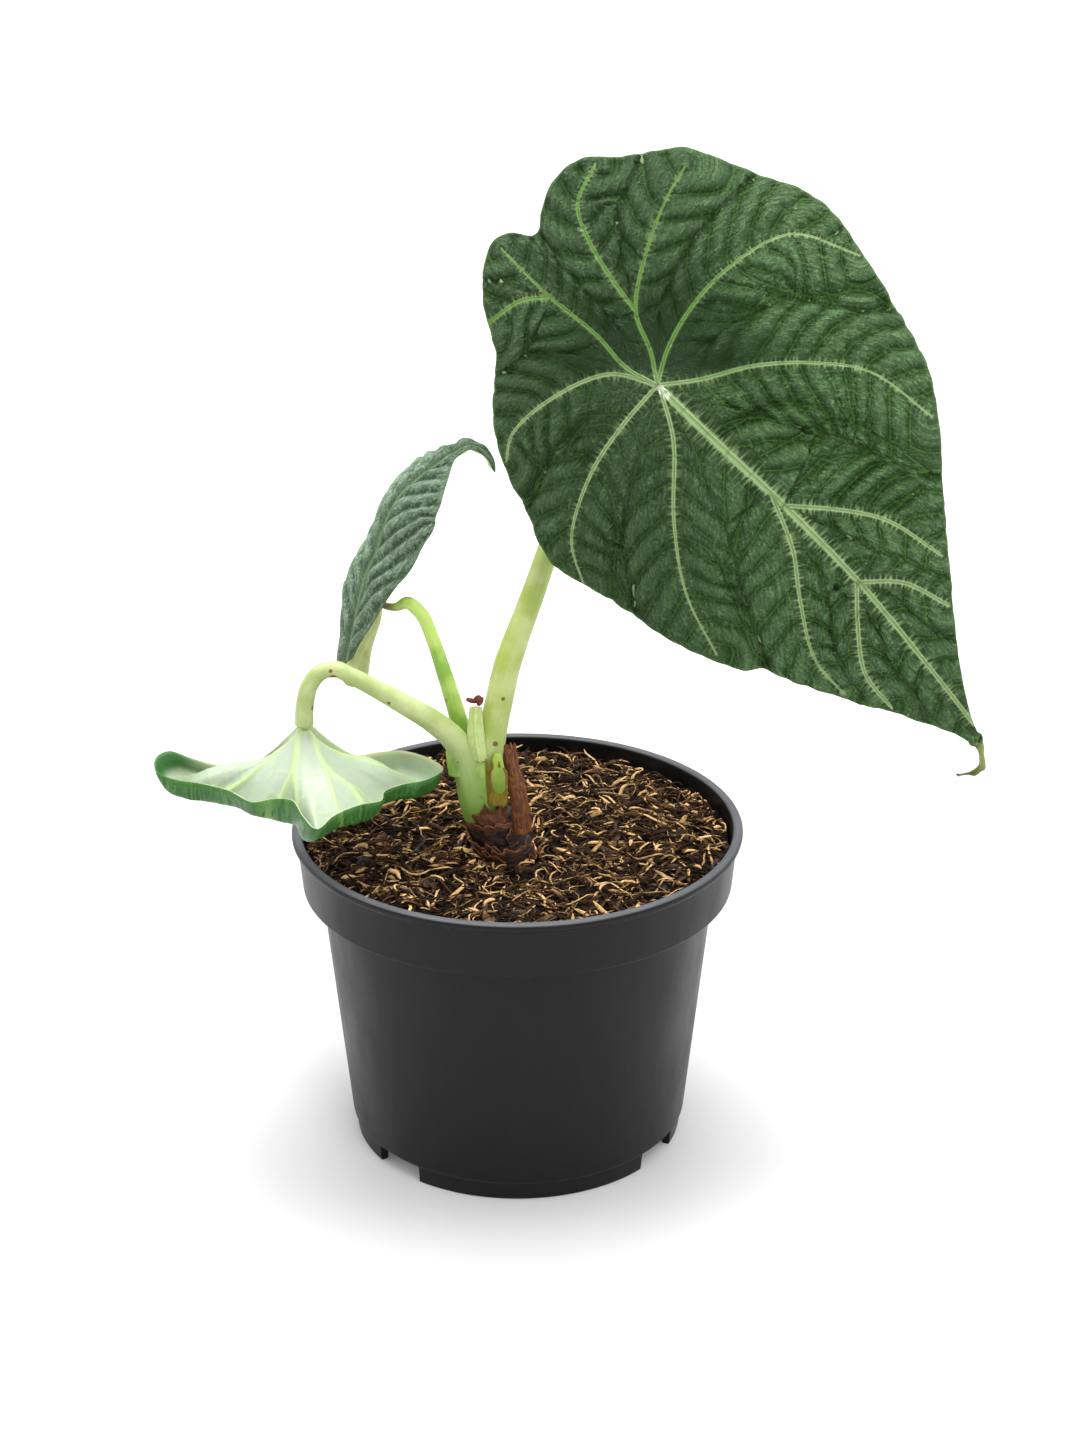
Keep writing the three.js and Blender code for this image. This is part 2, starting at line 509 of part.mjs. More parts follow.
function leaf2Geometry() {
  const spine = new THREE.CatmullRomCurve3(vectors(LEAF_2_SPINE.map(([x, z]) => [x, LEAF_2_PLANE_Y, z])));
  const last = LEAF_2_SPINE.length - 1;
  const lengthTo = (step) => spine.getLengths(last * 20)[step * 20];
  const start = lengthTo(LEAF_2_JUNCTION_STEP);
  const total = lengthTo(last);
  const edge = new THREE.Vector3(0, -Math.cos(LEAF_2_EDGE_RISE), Math.sin(LEAF_2_EDGE_RISE));
  const place = (rimPoint, fraction) => {
    const t = THREE.MathUtils.clamp((start + rimPoint.x * fraction) / total, 0, 1);
    const tangent = spine.getTangentAt(t);
    const inward = new THREE.Vector3(tangent.z, 0, -tangent.x).normalize();
    const isNear = rimPoint.y > 0;
    const radius = isNear ? LEAF_2_WRAP_RADIUS.near : LEAF_2_WRAP_RADIUS.far;
    const degrees = isNear ? LEAF_2_NEAR_ROLL : between(LEAF_2_FAR_ROLL, rimPoint.x * fraction);
    const roll = THREE.MathUtils.degToRad(degrees);
    const wrap = (rimPoint.y * fraction) / radius + roll;
    return spine.getPointAt(t)
      .addScaledVector(inward, radius * (Math.cos(roll) - Math.cos(wrap)))
      .addScaledVector(edge, radius * (Math.sin(wrap) - Math.sin(roll)));
  };
  const { puff, rings, spokes } = LEAF_2_MESH;
  const relief = veinRelief(LEAF_2_VEINS, puff);
  return bladeGeometry({ outline: LEAF_2_OUTLINE, place, relief, rings, spokes });
}

function leaf3Geometry() {
  const sharpness = LEAF_3_DIP_SHARPNESS;
  const peak = sharpness / (sharpness + 1);
  const scale = 1 / (peak ** sharpness * (1 - peak));
  const place = (rimPoint, fraction) => {
    const reach = new THREE.Vector3().subVectors(rimPoint, LEAF_3_JUNCTION);
    const run = Math.hypot(reach.x, reach.y);
    const direction = THREE.MathUtils.radToDeg(Math.atan2(reach.y, reach.x));
    const depth = between(LEAF_3_DIP, direction < LEAF_3_DIP_START ? direction + 360 : direction);
    const dip = depth * scale * fraction ** sharpness * (1 - fraction);
    const bell = (distance) => -LEAF_3_BELL.drop * (1 - Math.exp(-distance / LEAF_3_BELL.reach));
    const z = bell(run * fraction) + fraction ** 2 * (reach.z - bell(run)) - dip;
    return new THREE.Vector3(reach.x * fraction, reach.y * fraction, z).add(LEAF_3_JUNCTION);
  };
  const lift = new THREE.Vector3(0, 0, 1);
  return bladeGeometry({ outline: LEAF_3_RIM, place, relief: () => 0, lift, ...LEAF_3_MESH });
}

// Plant parts, grown a little where another part is cut clear of them
const rhizomeRod = (grow = 0) => rod(RHIZOME_PATH, RHIZOME_RADII, { ...ROD_SHAPE.rhizome, grow });
const stemRod = (grow = 0) => rod(STEM_PATH, STEM_RADII, { ...ROD_SHAPE.stem, grow });
const petiole1Rod = (grow = 0) => rod(PETIOLE_1_PATH, PETIOLE_1_RADII, { ...ROD_SHAPE.petiole1, grow });
const petiole2Rod = (grow = 0) => rod(PETIOLE_2_PATH, PETIOLE_2_RADII, { ...ROD_SHAPE.petiole2, grow });
const petiole3Rod = (grow = 0) => rod(PETIOLE_3_PATH, PETIOLE_3_RADII, { ...ROD_SHAPE.petiole3, grow });
const stub = (grow = 0) => rod(SHEATH_STUB_PATH, GROWTH_RADII.stub, { ...ROD_SHAPE.stub, grow });
const bud = (grow = 0) => rod(BUD_PATH, GROWTH_RADII.bud, { ...ROD_SHAPE.bud, grow });
const strip = (grow = 0) => rod(DRY_SHEATH_PATH, GROWTH_RADII.strip, { ...ROD_SHAPE.strip, grow });
const tip = () => rod(SHEATH_TIP_PATH, GROWTH_RADII.tip, ROD_SHAPE.tip);
const scale = () => rod(PAPERY_SCALE_PATH, GROWTH_RADII.scale, ROD_SHAPE.scale);

const plant = new THREE.Group();
function add(name, geometry, surface) {
  const mesh = new THREE.Mesh(geometry, surface);
  mesh.name = name;
  plant.add(mesh);
}

const potBlack = material(0x2b2c2e, 0.55);
const soilBrown = material(0x3d2a1a, 0.95);
const rhizomeBrown = material(0x3a2114, 0.85);
const petioleGreen = material(0xa9c46c, 0.45);
const sheathGreen = material(0xbccb86, 0.6);
const dryBrown = material(0x8a4f1f, 0.85);
const darkLeaf = material(0x2f5a34, 0.5);
const greyLeaf = material(0x6d8f73, 0.55);
const paleLeaf = material(0xcfdcc0, 0.6);

add('pot', potGeometry(), potBlack);
add('soil', soilGeometry(), soilBrown);
add('rhizome', cut(rhizomeRod(), stemRod(GAP)), rhizomeBrown);
add('stem_base', cut(stemRod(), petiole1Rod(GAP), petiole2Rod(GAP), petiole3Rod(GAP)), petioleGreen);
add('petiole_1', petiole1Rod(), petioleGreen);
add('petiole_2', cut(petiole2Rod(), petiole1Rod(GAP), petiole3Rod(GAP)), petioleGreen);
add('petiole_3', cut(petiole3Rod(), petiole1Rod(GAP)), petioleGreen);
add('leaf_1', leaf1Geometry(), darkLeaf);
add('leaf_2', leaf2Geometry(), greyLeaf);
add('leaf_3', leaf3Geometry(), paleLeaf);

const stalks = [stemRod(GAP), petiole1Rod(GAP), petiole2Rod(GAP), petiole3Rod(GAP), rhizomeRod(GAP)];
add('sheath_stub', cut(stub(), ...stalks), sheathGreen);
add('sheath_tip', cut(tip(), ...stalks, stub(GAP)), dryBrown);
add('bud', cut(bud(), ...stalks), petioleGreen);
add('dry_sheath', cut(strip(), ...stalks, bud(GAP)), dryBrown);
add('papery_scale', cut(scale(), ...stalks, bud(GAP), strip(GAP)), dryBrown);

export default plant;
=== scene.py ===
"""Potted young maharani alocasia in a 12 cm nursery pot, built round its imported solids.

Sizes in the tables are millimetres, +Z is up, and the plant is looked at from -Y.
"""

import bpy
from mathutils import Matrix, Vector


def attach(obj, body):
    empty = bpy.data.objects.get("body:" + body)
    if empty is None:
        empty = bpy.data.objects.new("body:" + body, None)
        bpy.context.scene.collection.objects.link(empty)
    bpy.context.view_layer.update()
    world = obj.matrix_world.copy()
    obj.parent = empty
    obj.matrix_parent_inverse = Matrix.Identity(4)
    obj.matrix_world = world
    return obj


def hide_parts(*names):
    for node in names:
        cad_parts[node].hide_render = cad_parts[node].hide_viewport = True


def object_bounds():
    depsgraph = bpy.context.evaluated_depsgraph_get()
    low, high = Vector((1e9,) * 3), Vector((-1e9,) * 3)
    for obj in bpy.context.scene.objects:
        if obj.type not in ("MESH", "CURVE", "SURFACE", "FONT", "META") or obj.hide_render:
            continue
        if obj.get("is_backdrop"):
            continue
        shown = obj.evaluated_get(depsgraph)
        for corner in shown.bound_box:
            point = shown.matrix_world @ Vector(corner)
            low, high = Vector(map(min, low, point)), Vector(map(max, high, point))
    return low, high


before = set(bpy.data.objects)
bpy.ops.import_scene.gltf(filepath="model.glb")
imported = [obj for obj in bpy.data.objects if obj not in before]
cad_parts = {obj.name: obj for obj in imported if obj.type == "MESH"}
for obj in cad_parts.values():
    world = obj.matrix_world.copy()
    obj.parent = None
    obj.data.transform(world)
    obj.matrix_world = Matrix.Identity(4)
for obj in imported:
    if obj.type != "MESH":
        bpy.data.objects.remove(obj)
CAD_BOX = [list(corner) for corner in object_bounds()]

import math

import bpy
import numpy as np
from mathutils import Vector

bl_info = {
    "name": "Potted maharani alocasia",
    "version": (1, 0, 0),
    "blender": (4, 5, 0),
    "location": "3D View > Sidebar > Alocasia",
    "description": "Builds a potted maharani alocasia and the stage it stands on",
    "category": "Object",
}

MM = 0.001
RELIEF_STEP = 0.001
TOWARDS_VIEWER = (0.0, -1.0, 0.0)

# Pot
POT_PROFILE = [
    (0, 0), (20, 0), (20.4, 5), (42, 5), (42.4, 0), (44.4, 0), (44.8, 5), (45.6, 5.6), (52.6, 72.8),
    (57, 73), (57.4, 73.4), (58.6, 86.4), (59.6, 87), (60, 87.6), (60, 88.6), (59.4, 89.2),
    (57.9, 89.2), (57.3, 88.6), (56.5, 75), (51.5, 72.8), (44.1, 8.1), (42.5, 6.5), (0, 6.5),
]
POT_SEGMENTS = 288
FOOT_RADIUS, NOTCH_ANGLES, NOTCH_HALF_WIDTH, NOTCH_TOP = 44, (-136, -32, 44, 148), 7.5, 4.9
DRAIN_RING, DRAIN_RADIUS, DRAIN_SIDES, DRILL_ENDS = 34, 4, 40, (2.0, 9.0)

# Potting mix
SOIL_TOP, SOIL_RADIUS, SOIL_SEGMENTS = 85.2, 56.4, 240
PLUG_PROFILE = [(42.0, 6.8), (43.6, 8.3), (51.1, 72.8), (56, 76), (56.5, 82)]
MIX_REACH, MIX_CREST, RHIZOME_CLEARANCE = 55.9, 3.1, 8.6
MIX_SEED, BARK_FLAKES, SPECKS = 5, 90, 22

# Stalks: points of their middle lines and radii there
RHIZOME = [
    (0, -11, 50), (-1, -12, 68), (-2.4, -12.5, 82.4), (-3.2, -12.6, 87.2), (-5, -12.8, 91.6),
    (-7.3, -13, 97.5),
]
RHIZOME_RADII = [2.2, 5.5, 7.6, 7.4, 6.5, 5.8]
STEM = [(-7, -13, 95), (-8.6, -13, 100), (-9.4, -12.8, 105), (-9.6, -12.6, 110), (-9, -12.3, 114.4)]
STEM_RADII = [5.2, 5.3, 5.3, 5, 3.6]
LARGE_STALK = [
    (-6.4, -12.6, 99), (-6.7, -12.6, 104.5), (-7.2, -12.4, 110.5), (-6.4, -12, 119.9),
    (-4.4, -11, 129.9), (-2.4, -9.6, 138.5), (-0.3, -8, 144.5), (4.6, -5.5, 157.6),
    (8.3, -4, 168.4), (13.6, -2.4, 182), (19.8, -1.8, 197), (27, -4, 208.5), (33.4, -10, 213.8),
    (35.6, -17, 215.9), (34.65, -24.4, 217.9),
]
LARGE_STALK_RADII = [3.2, 3.7, 3.8, 3.7, 3.6, 3.5, 3.3, 3, 2.8, 2.7, 2.6, 2.5, 2.4, 2.3, 2.1]
GREY_STALK = [
    (-11.6, -10, 107), (-12.4, -9.4, 111), (-13.4, -8.8, 115.3), (-15.1, -7.4, 122.2),
    (-18.8, -4.5, 134.2), (-21.7, -1.5, 142.2), (-24.5, 1, 148.1), (-28.1, 3, 150.7),
    (-31.4, 5.6, 148.6), (-34.8, 8.8, 147.9), (-37.8, 10.9, 149.8), (-39.9, 10.3, 151),
]
GREY_STALK_RADII = [2.6, 2.5, 2.4, 2.3, 2.0, 1.8, 1.8, 1.7, 1.1, 0.9, 0.9, 0.9]
PALE_STALK = [
    (-9.4, -13.9, 97.2), (-10.4, -14, 102.5), (-11.5, -13.8, 108), (-13.1, -13.6, 113.6),
    (-16.2, -13.9, 119.6), (-22.3, -15, 125.7), (-28.5, -15.8, 130), (-36.6, -17, 135.5),
    (-42.1, -18, 139), (-45.6, -18.6, 141), (-49.3, -19, 140.6), (-52.2, -19, 137.5),
    (-53.8, -19, 132.4), (-54.4, -18.8, 125.2),
]
PALE_STALK_RADII = [4.4, 4.7, 4.4, 3.8, 3.3, 3.0, 2.7, 2.35, 2.2, 2.15, 2.15, 2.2, 2.3, 2.5]

# Papery husks on the rhizome: direction, angle covered, foot, top, radius, flare, seed, raggedness
HUSKS = [
    (-104, 3.6, 91.6, 98.4, 6.6, 0.35, 1, 0.25), (-12, 1.9, 90.4, 97.6, 6.9, 0.7, 2, 0.5),
    (-60, 2.4, 85.6, 92.2, 7.5, 0.6, 3, 0.4), (-150, 2.2, 84.6, 90.6, 7.6, 0.5, 4, 0.4),
    (-24, 1.3, 84, 89.4, 8.1, 1.6, 5, 0.5), (-80, 1.6, 83.2, 87.2, 8, 0.7, 6, 0.5),
    (160, 2.4, 86, 95, 7.2, 0.4, 7, 0.4), (80, 2.6, 88, 96.6, 6.9, 0.5, 10, 0.4),
    (-120, 1.5, 88.2, 92.6, 7.3, 0.3, 11, 0.5),
]
PAPERY_SCALE = (-66, 1.9, 97.2, 103.6, 5.9, 0.5, 12, 0.45)
HUSK_THICKNESS, HUSK_GRID = 0.28, (48, 22)

# Large leaf: u runs down the midrib from the junction to the tip, v to the upper side
LARGE_JUNCTION = (34.5, -25, 218)
LARGE_SLOPE, LARGE_LEAN, LARGE_TURN = (math.radians(a) for a in (48, 23.5, 12))
LARGE_CURL_START, LARGE_CURL_RADIUS = 117, 6
LARGE_GRID = (476, 158)
LARGE_OUTLINE = [
    (-47.4, 3), (-50.4, 6.5), (-52.7, 10), (-54.4, 15.5), (-53.6, 22.3), (-47.1, 29.8),
    (-43.2, 35.4), (-39, 42), (-33.9, 44.9), (-21.4, 51), (-11.6, 56), (-1.9, 58), (15.7, 55.8),
    (30.2, 52.7), (40.6, 50), (51.5, 44), (66.5, 32), (81.6, 21), (97.6, 9.3), (108.3, 2.8),
    (113.6, 0.1), (119, -1.3), (132, -2.4), (119, -3.7), (112.4, -5.2), (99.5, -11.9), (89.8, -18),
    (77.5, -24.5), (67.7, -29.6), (65.4, -32.6), (58.2, -36.8), (43.2, -42), (31.3, -45), (20, -49),
    (13, -49.8), (0.4, -45.7), (-11.6, -42.4), (-20.7, -36.8), (-27.4, -30.5), (-33, -24.6),
    (-42.3, -20), (-50.7, -13), (-54, -8), (-52.6, -3), (-48.2, 0.5),
]
LARGE_VEINS = [
    [(0, 0), (21.7, 1.5), (45.2, 3.2), (69.6, 3.6), (98.3, 1.6), (114, 0)],
    [(0, 0), (-7, 4.2), (-16.8, 8), (-26.5, 20.5), (-32, 30.8), (-35, 39.4)],
    [(-16.8, 8), (-25, 8.6), (-36.7, 10.5), (-45.7, 14.2), (-50.3, 23.5)],
    [(0, 0), (-4.4, 7), (-8, 17), (-9.5, 31), (-5.6, 47.3), (9.2, 56)],
    [(0, 0), (6, 8.7), (12.2, 20.2), (21.2, 31), (32.2, 39.6), (50, 43.2)],
    [(42, 3), (52, 12.2), (61.2, 18.5), (76.6, 22.4)],
    [(68, 3.6), (75.6, 11.4), (86.7, 15.4)],
    [(0, 0), (-8.4, -2.8), (-18.6, -2.9), (-33.9, -5.4), (-51, -7)],
    [(-33.8, -5.6), (-38, -11.7), (-39.5, -20.6)],
    [(0, 0), (-9.7, -6.6), (-15, -20.5), (-15.7, -35), (-12, -41)],
    [(0, 0), (1.4, -13), (4.8, -27), (13.2, -42), (23, -47.8)],
    [(1, 0), (12.4, -6), (26.9, -19.4), (42.2, -29.7), (58.3, -34.7)],
    [(38, 2.6), (51.4, -2.7), (62, -10), (75.4, -17.5), (86.4, -18.3)],
    [(68, 3), (76.6, -4.4), (86.2, -10.8), (97, -12)],
]
LARGE_FOLDS = [
    [(-7, 33), (-3, 34), (3, 37), (10, 42), (16, 51), (24, 54)],
    [(-7, 20), (-3, 22), (2, 28), (2, 32), (4, 37)],
    [(29, 6), (31, 13), (33, 21), (38, 28), (44, 30), (50, 32), (62, 34)],
    [(28, 35), (34, 31), (38, 29)],
    [(19, 4), (21, 12), (22, 17), (26, 22), (30, 24), (35, 25)],
    [(42, 12), (41, 17), (43, 22), (46, 26), (45, 29)],
    [(50, 12), (49, 19), (49, 25)],
    [(56, 17), (55, 23), (55, 28)],
    [(61, 20), (61, 25), (61, 30)],
    [(35, 0), (38, -7), (42, -13), (44, -18), (53, -22), (63, -27), (69, -28)],
    [(31, -21), (36, -18), (44, -18)],
    [(7, -26), (11, -26), (19, -31), (26, -39), (31, -41), (37, -42)],
    [(1, -14), (-2, -16), (-5, -22), (-3, -28), (-4, -33), (-3, -39), (-1, -43)],
    [(-3, -28), (-1, -26), (4, -26)],
]

# Grey leaf: its midrib follows a spine, its halves wrap round to the right
GREY_SPINE = [
    (-45.8, 10, 120), (-45.6, 10, 126), (-44.9, 10, 130.7), (-42.8, 10, 140.4), (-40.5, 10, 151.3),
    (-38.8, 10, 156.6), (-36, 10, 162.7), (-33.5, 10, 170.7), (-30, 10, 177.3), (-25.3, 10, 182),
    (-20, 10, 186.2), (-15.5, 10, 189.4), (-11.9, 10, 191), (-8.6, 10, 189.7), (-6.5, 10, 187),
    (-5.4, 10, 183),
]
GREY_JUNCTION_STEP, GREY_EDGE_LEAN = 4, math.radians(20)
GREY_NEAR_RADIUS, GREY_FAR_RADIUS, GREY_NEAR_ROLL = 24, 14, 28
GREY_GRID = (400, 110)
GREY_FAR_ROLL = [(-30, 20), (-12, 36), (0, 45), (10, 42), (20, 32), (32, 38), (45, 44), (62, 45)]
GREY_OUTLINE = [
    (-20.3, 0), (-19.4, 2), (-14, 4.6), (-5.5, 9.2), (4.4, 12.8), (14, 15.2), (24, 16.8),
    (33, 14.4), (39.2, 9.9), (43, 6), (45.6, 3.2), (49, 2), (55, 1.5), (61.5, 0), (55, -1.8),
    (49, -3.2), (44, -7), (38, -12), (28, -19.5), (15, -26), (4, -27.5), (-6, -26.5), (-16, -22.5),
    (-25.5, -19.5), (-28.3, -17), (-27.8, -11), (-24, -5),
]

# Pale leaf: hangs upside down under its stalk, like a small tray with a raised rim
PALE_JUNCTION = (-54.5, -18.8, 124.8)
PALE_BELL_DEPTH, PALE_BELL_WIDTH, PALE_DIP_PEAK = 13, 8, 7 / 8
PALE_GRID = (360, 100)
PALE_RIM = [
    (-54.1, -15, 125.2), (-51.6, -15.2, 123.1), (-47.4, -12.7, 118), (-41.9, -9.1, 113),
    (-35.7, -5.8, 112.4), (-29.7, -3.5, 111.6), (-23.3, -5.5, 110.5), (-19.2, -11.5, 110),
    (-23.7, -17.2, 109.5), (-29, -19.7, 109.5), (-33.7, -25, 110), (-34.4, -33, 111),
    (-39.6, -37.8, 112), (-45.7, -44.3, 112), (-49.4, -49.8, 111), (-53.2, -44.3, 112),
    (-56.6, -36, 112.5), (-62, -32, 111), (-67, -30.7, 109.5), (-74.2, -22.3, 109),
    (-82.2, -17, 108.5), (-88.7, -15.2, 108.7), (-93.7, -12.7, 110), (-94, -8.2, 112),
    (-91, -6.6, 113), (-84.9, -7.4, 111.2), (-77.9, -8.9, 110.1), (-70.8, -10.9, 110.8),
    (-66.6, -12.2, 113.3), (-62.9, -13.5, 116.5), (-58.7, -15.4, 121.4),
]
PALE_DIP = [
    (90, 0), (150, 0.5), (162, 6), (180, 6), (200, 5), (223, 5), (240, 7.5), (262, 8), (274, 7),
    (280, 3.5), (290, 5.5), (308, 6), (325, 5.5), (343, 5.5), (358, 4.5), (372, 6), (392, 6),
    (440, 0),
]
PALE_VEINS = [
    [(0, 0), (1.7, 2.3), (2.9, -1.4), (5.4, -6), (7.5, -11.8), (9.6, -17.7), (10.8, -24)],
    [(0, 0), (-1.1, 1), (-1.6, -3.3), (-1.9, -7), (-1.1, -11.7), (-0.1, -17.2)],
    [(-1.7, -4.5), (-2.4, -7.4), (-4.3, -9), (-7, -10.5), (-9.1, -13)],
    [(0, 0), (-6.3, 1.6), (-10.5, -0.2), (-14.7, -0.4), (-20.1, 1), (-30, 4), (-37, 8)],
    [(4, -3.5), (5.6, -5.6), (7.8, -7.3), (11.5, -8.3), (15.5, -6.8), (19.3, -6.2)],
    [(0, 0), (6, 2.5), (13.7, 5.1), (18.3, 4.8), (21.6, 4.9), (25.2, 5.8), (31, 8)],
    [(10, 3.8), (16, 8.5), (21, 11.5)],
    [(11.5, -8.3), (15, -10.8), (18, -12.5)],
]

# Stage, in metres and degrees: the lights' names, places, sizes and powers, and the camera's view
LIGHTS = [
    ("overhead", (0.0, 0.15, 1.1), 0.6, 12), ("left", (-1.2, 0.1, 0.5), 0.7, 2.5),
    ("right", (1.2, 0.2, 0.5), 0.6, 2.5), ("front", (0.35, -0.9, 1.1), 0.6, 7),
]
LIGHTS_AIM = (0.01, -0.02, 0.15)
SUN_POWER, SUN_SPREAD, SUN_TILT = 2.3, 120, -4
WORLD_POWER = 0.4
FLOOR_HALF_WIDTH, FLOOR_LEVEL = 14.0, -0.0001
FLOOR_GLOW, GLOW_START, GLOW_END = 0.6, 140.0, 420.0
CAMERA_AIM = (0.0068, 0.0, 0.1178)
CAMERA_LENS, CAMERA_HEIGHT_ANGLE, CAMERA_DISTANCE = 75.75, 23.5, 0.8


def tint(red, green, blue):
    """Linear colour of a display colour given from 0 to 255."""
    shares = (c / 255 for c in (red, green, blue))
    return tuple(c / 12.92 if c <= 0.04045 else ((c + 0.055) / 1.055) ** 2.4 for c in shares)


def unit(vectors):
    """The vectors divided by their lengths."""
    return vectors / np.maximum(np.linalg.norm(vectors, axis=-1, keepdims=True), 1e-12)


def ease(x, low, high):
    """0 below low, 1 above high, 3t2 - 2t3 between."""
    t = np.clip((np.asarray(x, float) - low) / (high - low), 0, 1)
    return t * t * (3 - 2 * t)


def hump(x, width):
    """1 at 0 and falling off to both sides, exp(-(x / width)2)."""
    return np.exp(-((x / width) ** 2))


def stacked(*parts):
    """Points on a grid from their x, y and z, each a row, a column, a whole grid or one number."""
    return np.stack(np.broadcast_arrays(*parts), -1)


def turned(radius, angle, height):
    """Points at a radius and an angle round the upright axis: (r cos a, r sin a, height)."""
    return stacked(radius * np.cos(angle), radius * np.sin(angle), height)


def full_turn(count):
    """Even angles round a circle."""
    return np.linspace(0, 2 * math.pi, count, endpoint=False)


def run_along(points):
    """Length from the first point to each point of a line."""
    return np.concatenate([[0], np.cumsum(np.linalg.norm(np.diff(points, axis=0), axis=1))])


def rumple(x, y, size, seed):
    """Smooth random field from -1 to 1: random values on a square lattice of the given size,
    eased between corners."""
    lattice = np.random.default_rng(seed).uniform(-1, 1, (64, 64))
    i, j = np.asarray(x) / size, np.asarray(y) / size
    i0, j0 = np.floor(i).astype(int), np.floor(j).astype(int)
    a, b = ease(i - i0, 0, 1), ease(j - j0, 0, 1)
    corner = lambda p, q: lattice[(i0 + p) % 64, (j0 + q) % 64]
    low = corner(0, 0) * (1 - a) + corner(1, 0) * a
    return low * (1 - b) + (corner(0, 1) * (1 - a) + corner(1, 1) * a) * b


def smooth_curve(knots, t, closed=False):
    """Curve through the knots: in each span a cubic in w with end slopes
    d1 ((p1-p0)/d0 - (p2-p0)/(d0+d1) + (p2-p1)/d1) and its mirror image, where d is the square root
    of the distance between two knots."""
    p = np.asarray(knots, float)
    ends = (p[-1:], p[:2]) if closed else (2 * p[0] - p[1], 2 * p[-1] - p[-2])
    p = np.vstack([ends[0], p, ends[1]])
    spans = len(p) - 3
    x = np.clip(np.asarray(t, float) * spans, 0, spans - 1e-9)
    i = x.astype(int)
    w = (x - i)[:, None]
    a, b, c, d = p[i], p[i + 1], p[i + 2], p[i + 3]
    d0, d1, d2 = (np.sqrt(np.linalg.norm(q - r, axis=1))[:, None]
                  for q, r in ((b, a), (c, b), (d, c)))
    m1 = ((b - a) / d0 - (c - a) / (d0 + d1) + (c - b) / d1) * d1
    m2 = ((c - b) / d1 - (d - b) / (d1 + d2) + (d - c) / d2) * d1
    return b + m1 * w + (3 * c - 3 * b - 2 * m1 - m2) * w**2 + (2 * b - 2 * c + m1 + m2) * w**3


def even_curve(knots, count):
    """Points of the closed curve through the knots at equal steps of length."""
    fine = smooth_curve(knots, np.linspace(0, 1, 6001), closed=True)
    length = run_along(fine)
    steps = np.linspace(0, length[-1], count, endpoint=False)
    return np.stack([np.interp(steps, length, axis) for axis in fine.T], axis=1)


class Form:
    """Points in millimetres with their quads, triangles and a value or vector per point for the
    finishes."""

    def __init__(self, points, quads=(), triangles=(), **values):
        self.points = np.asarray(points, float).reshape(-1, 3)
        self.quads = np.asarray(quads, int).reshape(-1, 4)
        self.triangles = np.asarray(triangles, int).reshape(-1, 3)
        self.values = {name: np.asarray(v, float) for name, v in values.items()}

    def outward(self):
        """Turns every face over when the closed form encloses a negative volume, a sum of
        a . (b x c) over its triangles."""
        p = self.points - self.points.mean(axis=0)
        thirds = np.vstack([self.triangles, self.quads[:, :3], self.quads[:, [0, 2, 3]]])
        a, b, c = p[thirds[:, 0]], p[thirds[:, 1]], p[thirds[:, 2]]
        if np.einsum("ij,ij->", a, np.cross(b, c)) < 0:
            self.quads, self.triangles = self.quads[:, ::-1], self.triangles[:, ::-1]
        return self


def joined(forms):
    """One form out of several that have the same values."""
    starts = np.cumsum([0] + [len(f.points) for f in forms])
    return Form(
        np.vstack([f.points for f in forms]),
        np.vstack([f.quads + s for f, s in zip(forms, starts)]),
        np.vstack([f.triangles + s for f, s in zip(forms, starts)]),
        **{name: np.concatenate([f.values[name] for f in forms]) for name in forms[0].values},
    )


def placed(name, data, place=(0, 0, 0), aim=None):
    """New object in the scene, turned to look from its place at the aim if there is one."""
    made = bpy.data.objects.new(name, data)
    made.location = place
    if aim is not None:
        made.rotation_euler = (Vector(aim) - Vector(place)).to_track_quat("-Z", "Y").to_euler()
    bpy.context.scene.collection.objects.link(made)
    return made


def piece(name, form, finishes, nodes=(), face_finish=None):
    """Mesh object of a form at the origin, riding on the plant's one body and standing for the
    given nodes."""
    mesh = bpy.data.meshes.new(name)
    mesh.vertices.add(len(form.points))
    mesh.vertices.foreach_set("co", (form.points * MM).ravel())
    corners = np.concatenate([form.quads.ravel(), form.triangles.ravel()])
    starts = np.concatenate([
        np.arange(len(form.quads)) * 4, len(form.quads) * 4 + np.arange(len(form.triangles)) * 3])
    mesh.loops.add(len(corners))
    mesh.loops.foreach_set("vertex_index", corners)
    mesh.polygons.add(len(starts))
    mesh.polygons.foreach_set("loop_start", starts)
    mesh.update(calc_edges=True)
    for key, values in form.values.items():
        kind, field = ("FLOAT_VECTOR", "vector") if values.ndim == 2 else ("FLOAT", "value")
        mesh.attributes.new(key, kind, "POINT").data.foreach_set(field, values.ravel())
    for finish in finishes:
        mesh.materials.append(finish)
    if face_finish is not None:
        mesh.polygons.foreach_set("material_index", face_finish)
    mesh.shade_smooth()
    if mesh.validate():
        raise RuntimeError(f"{name} has faces that cannot stand")
    made = placed(name, mesh)
    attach(made, "root")
    if nodes:
        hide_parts(*nodes)
    return made


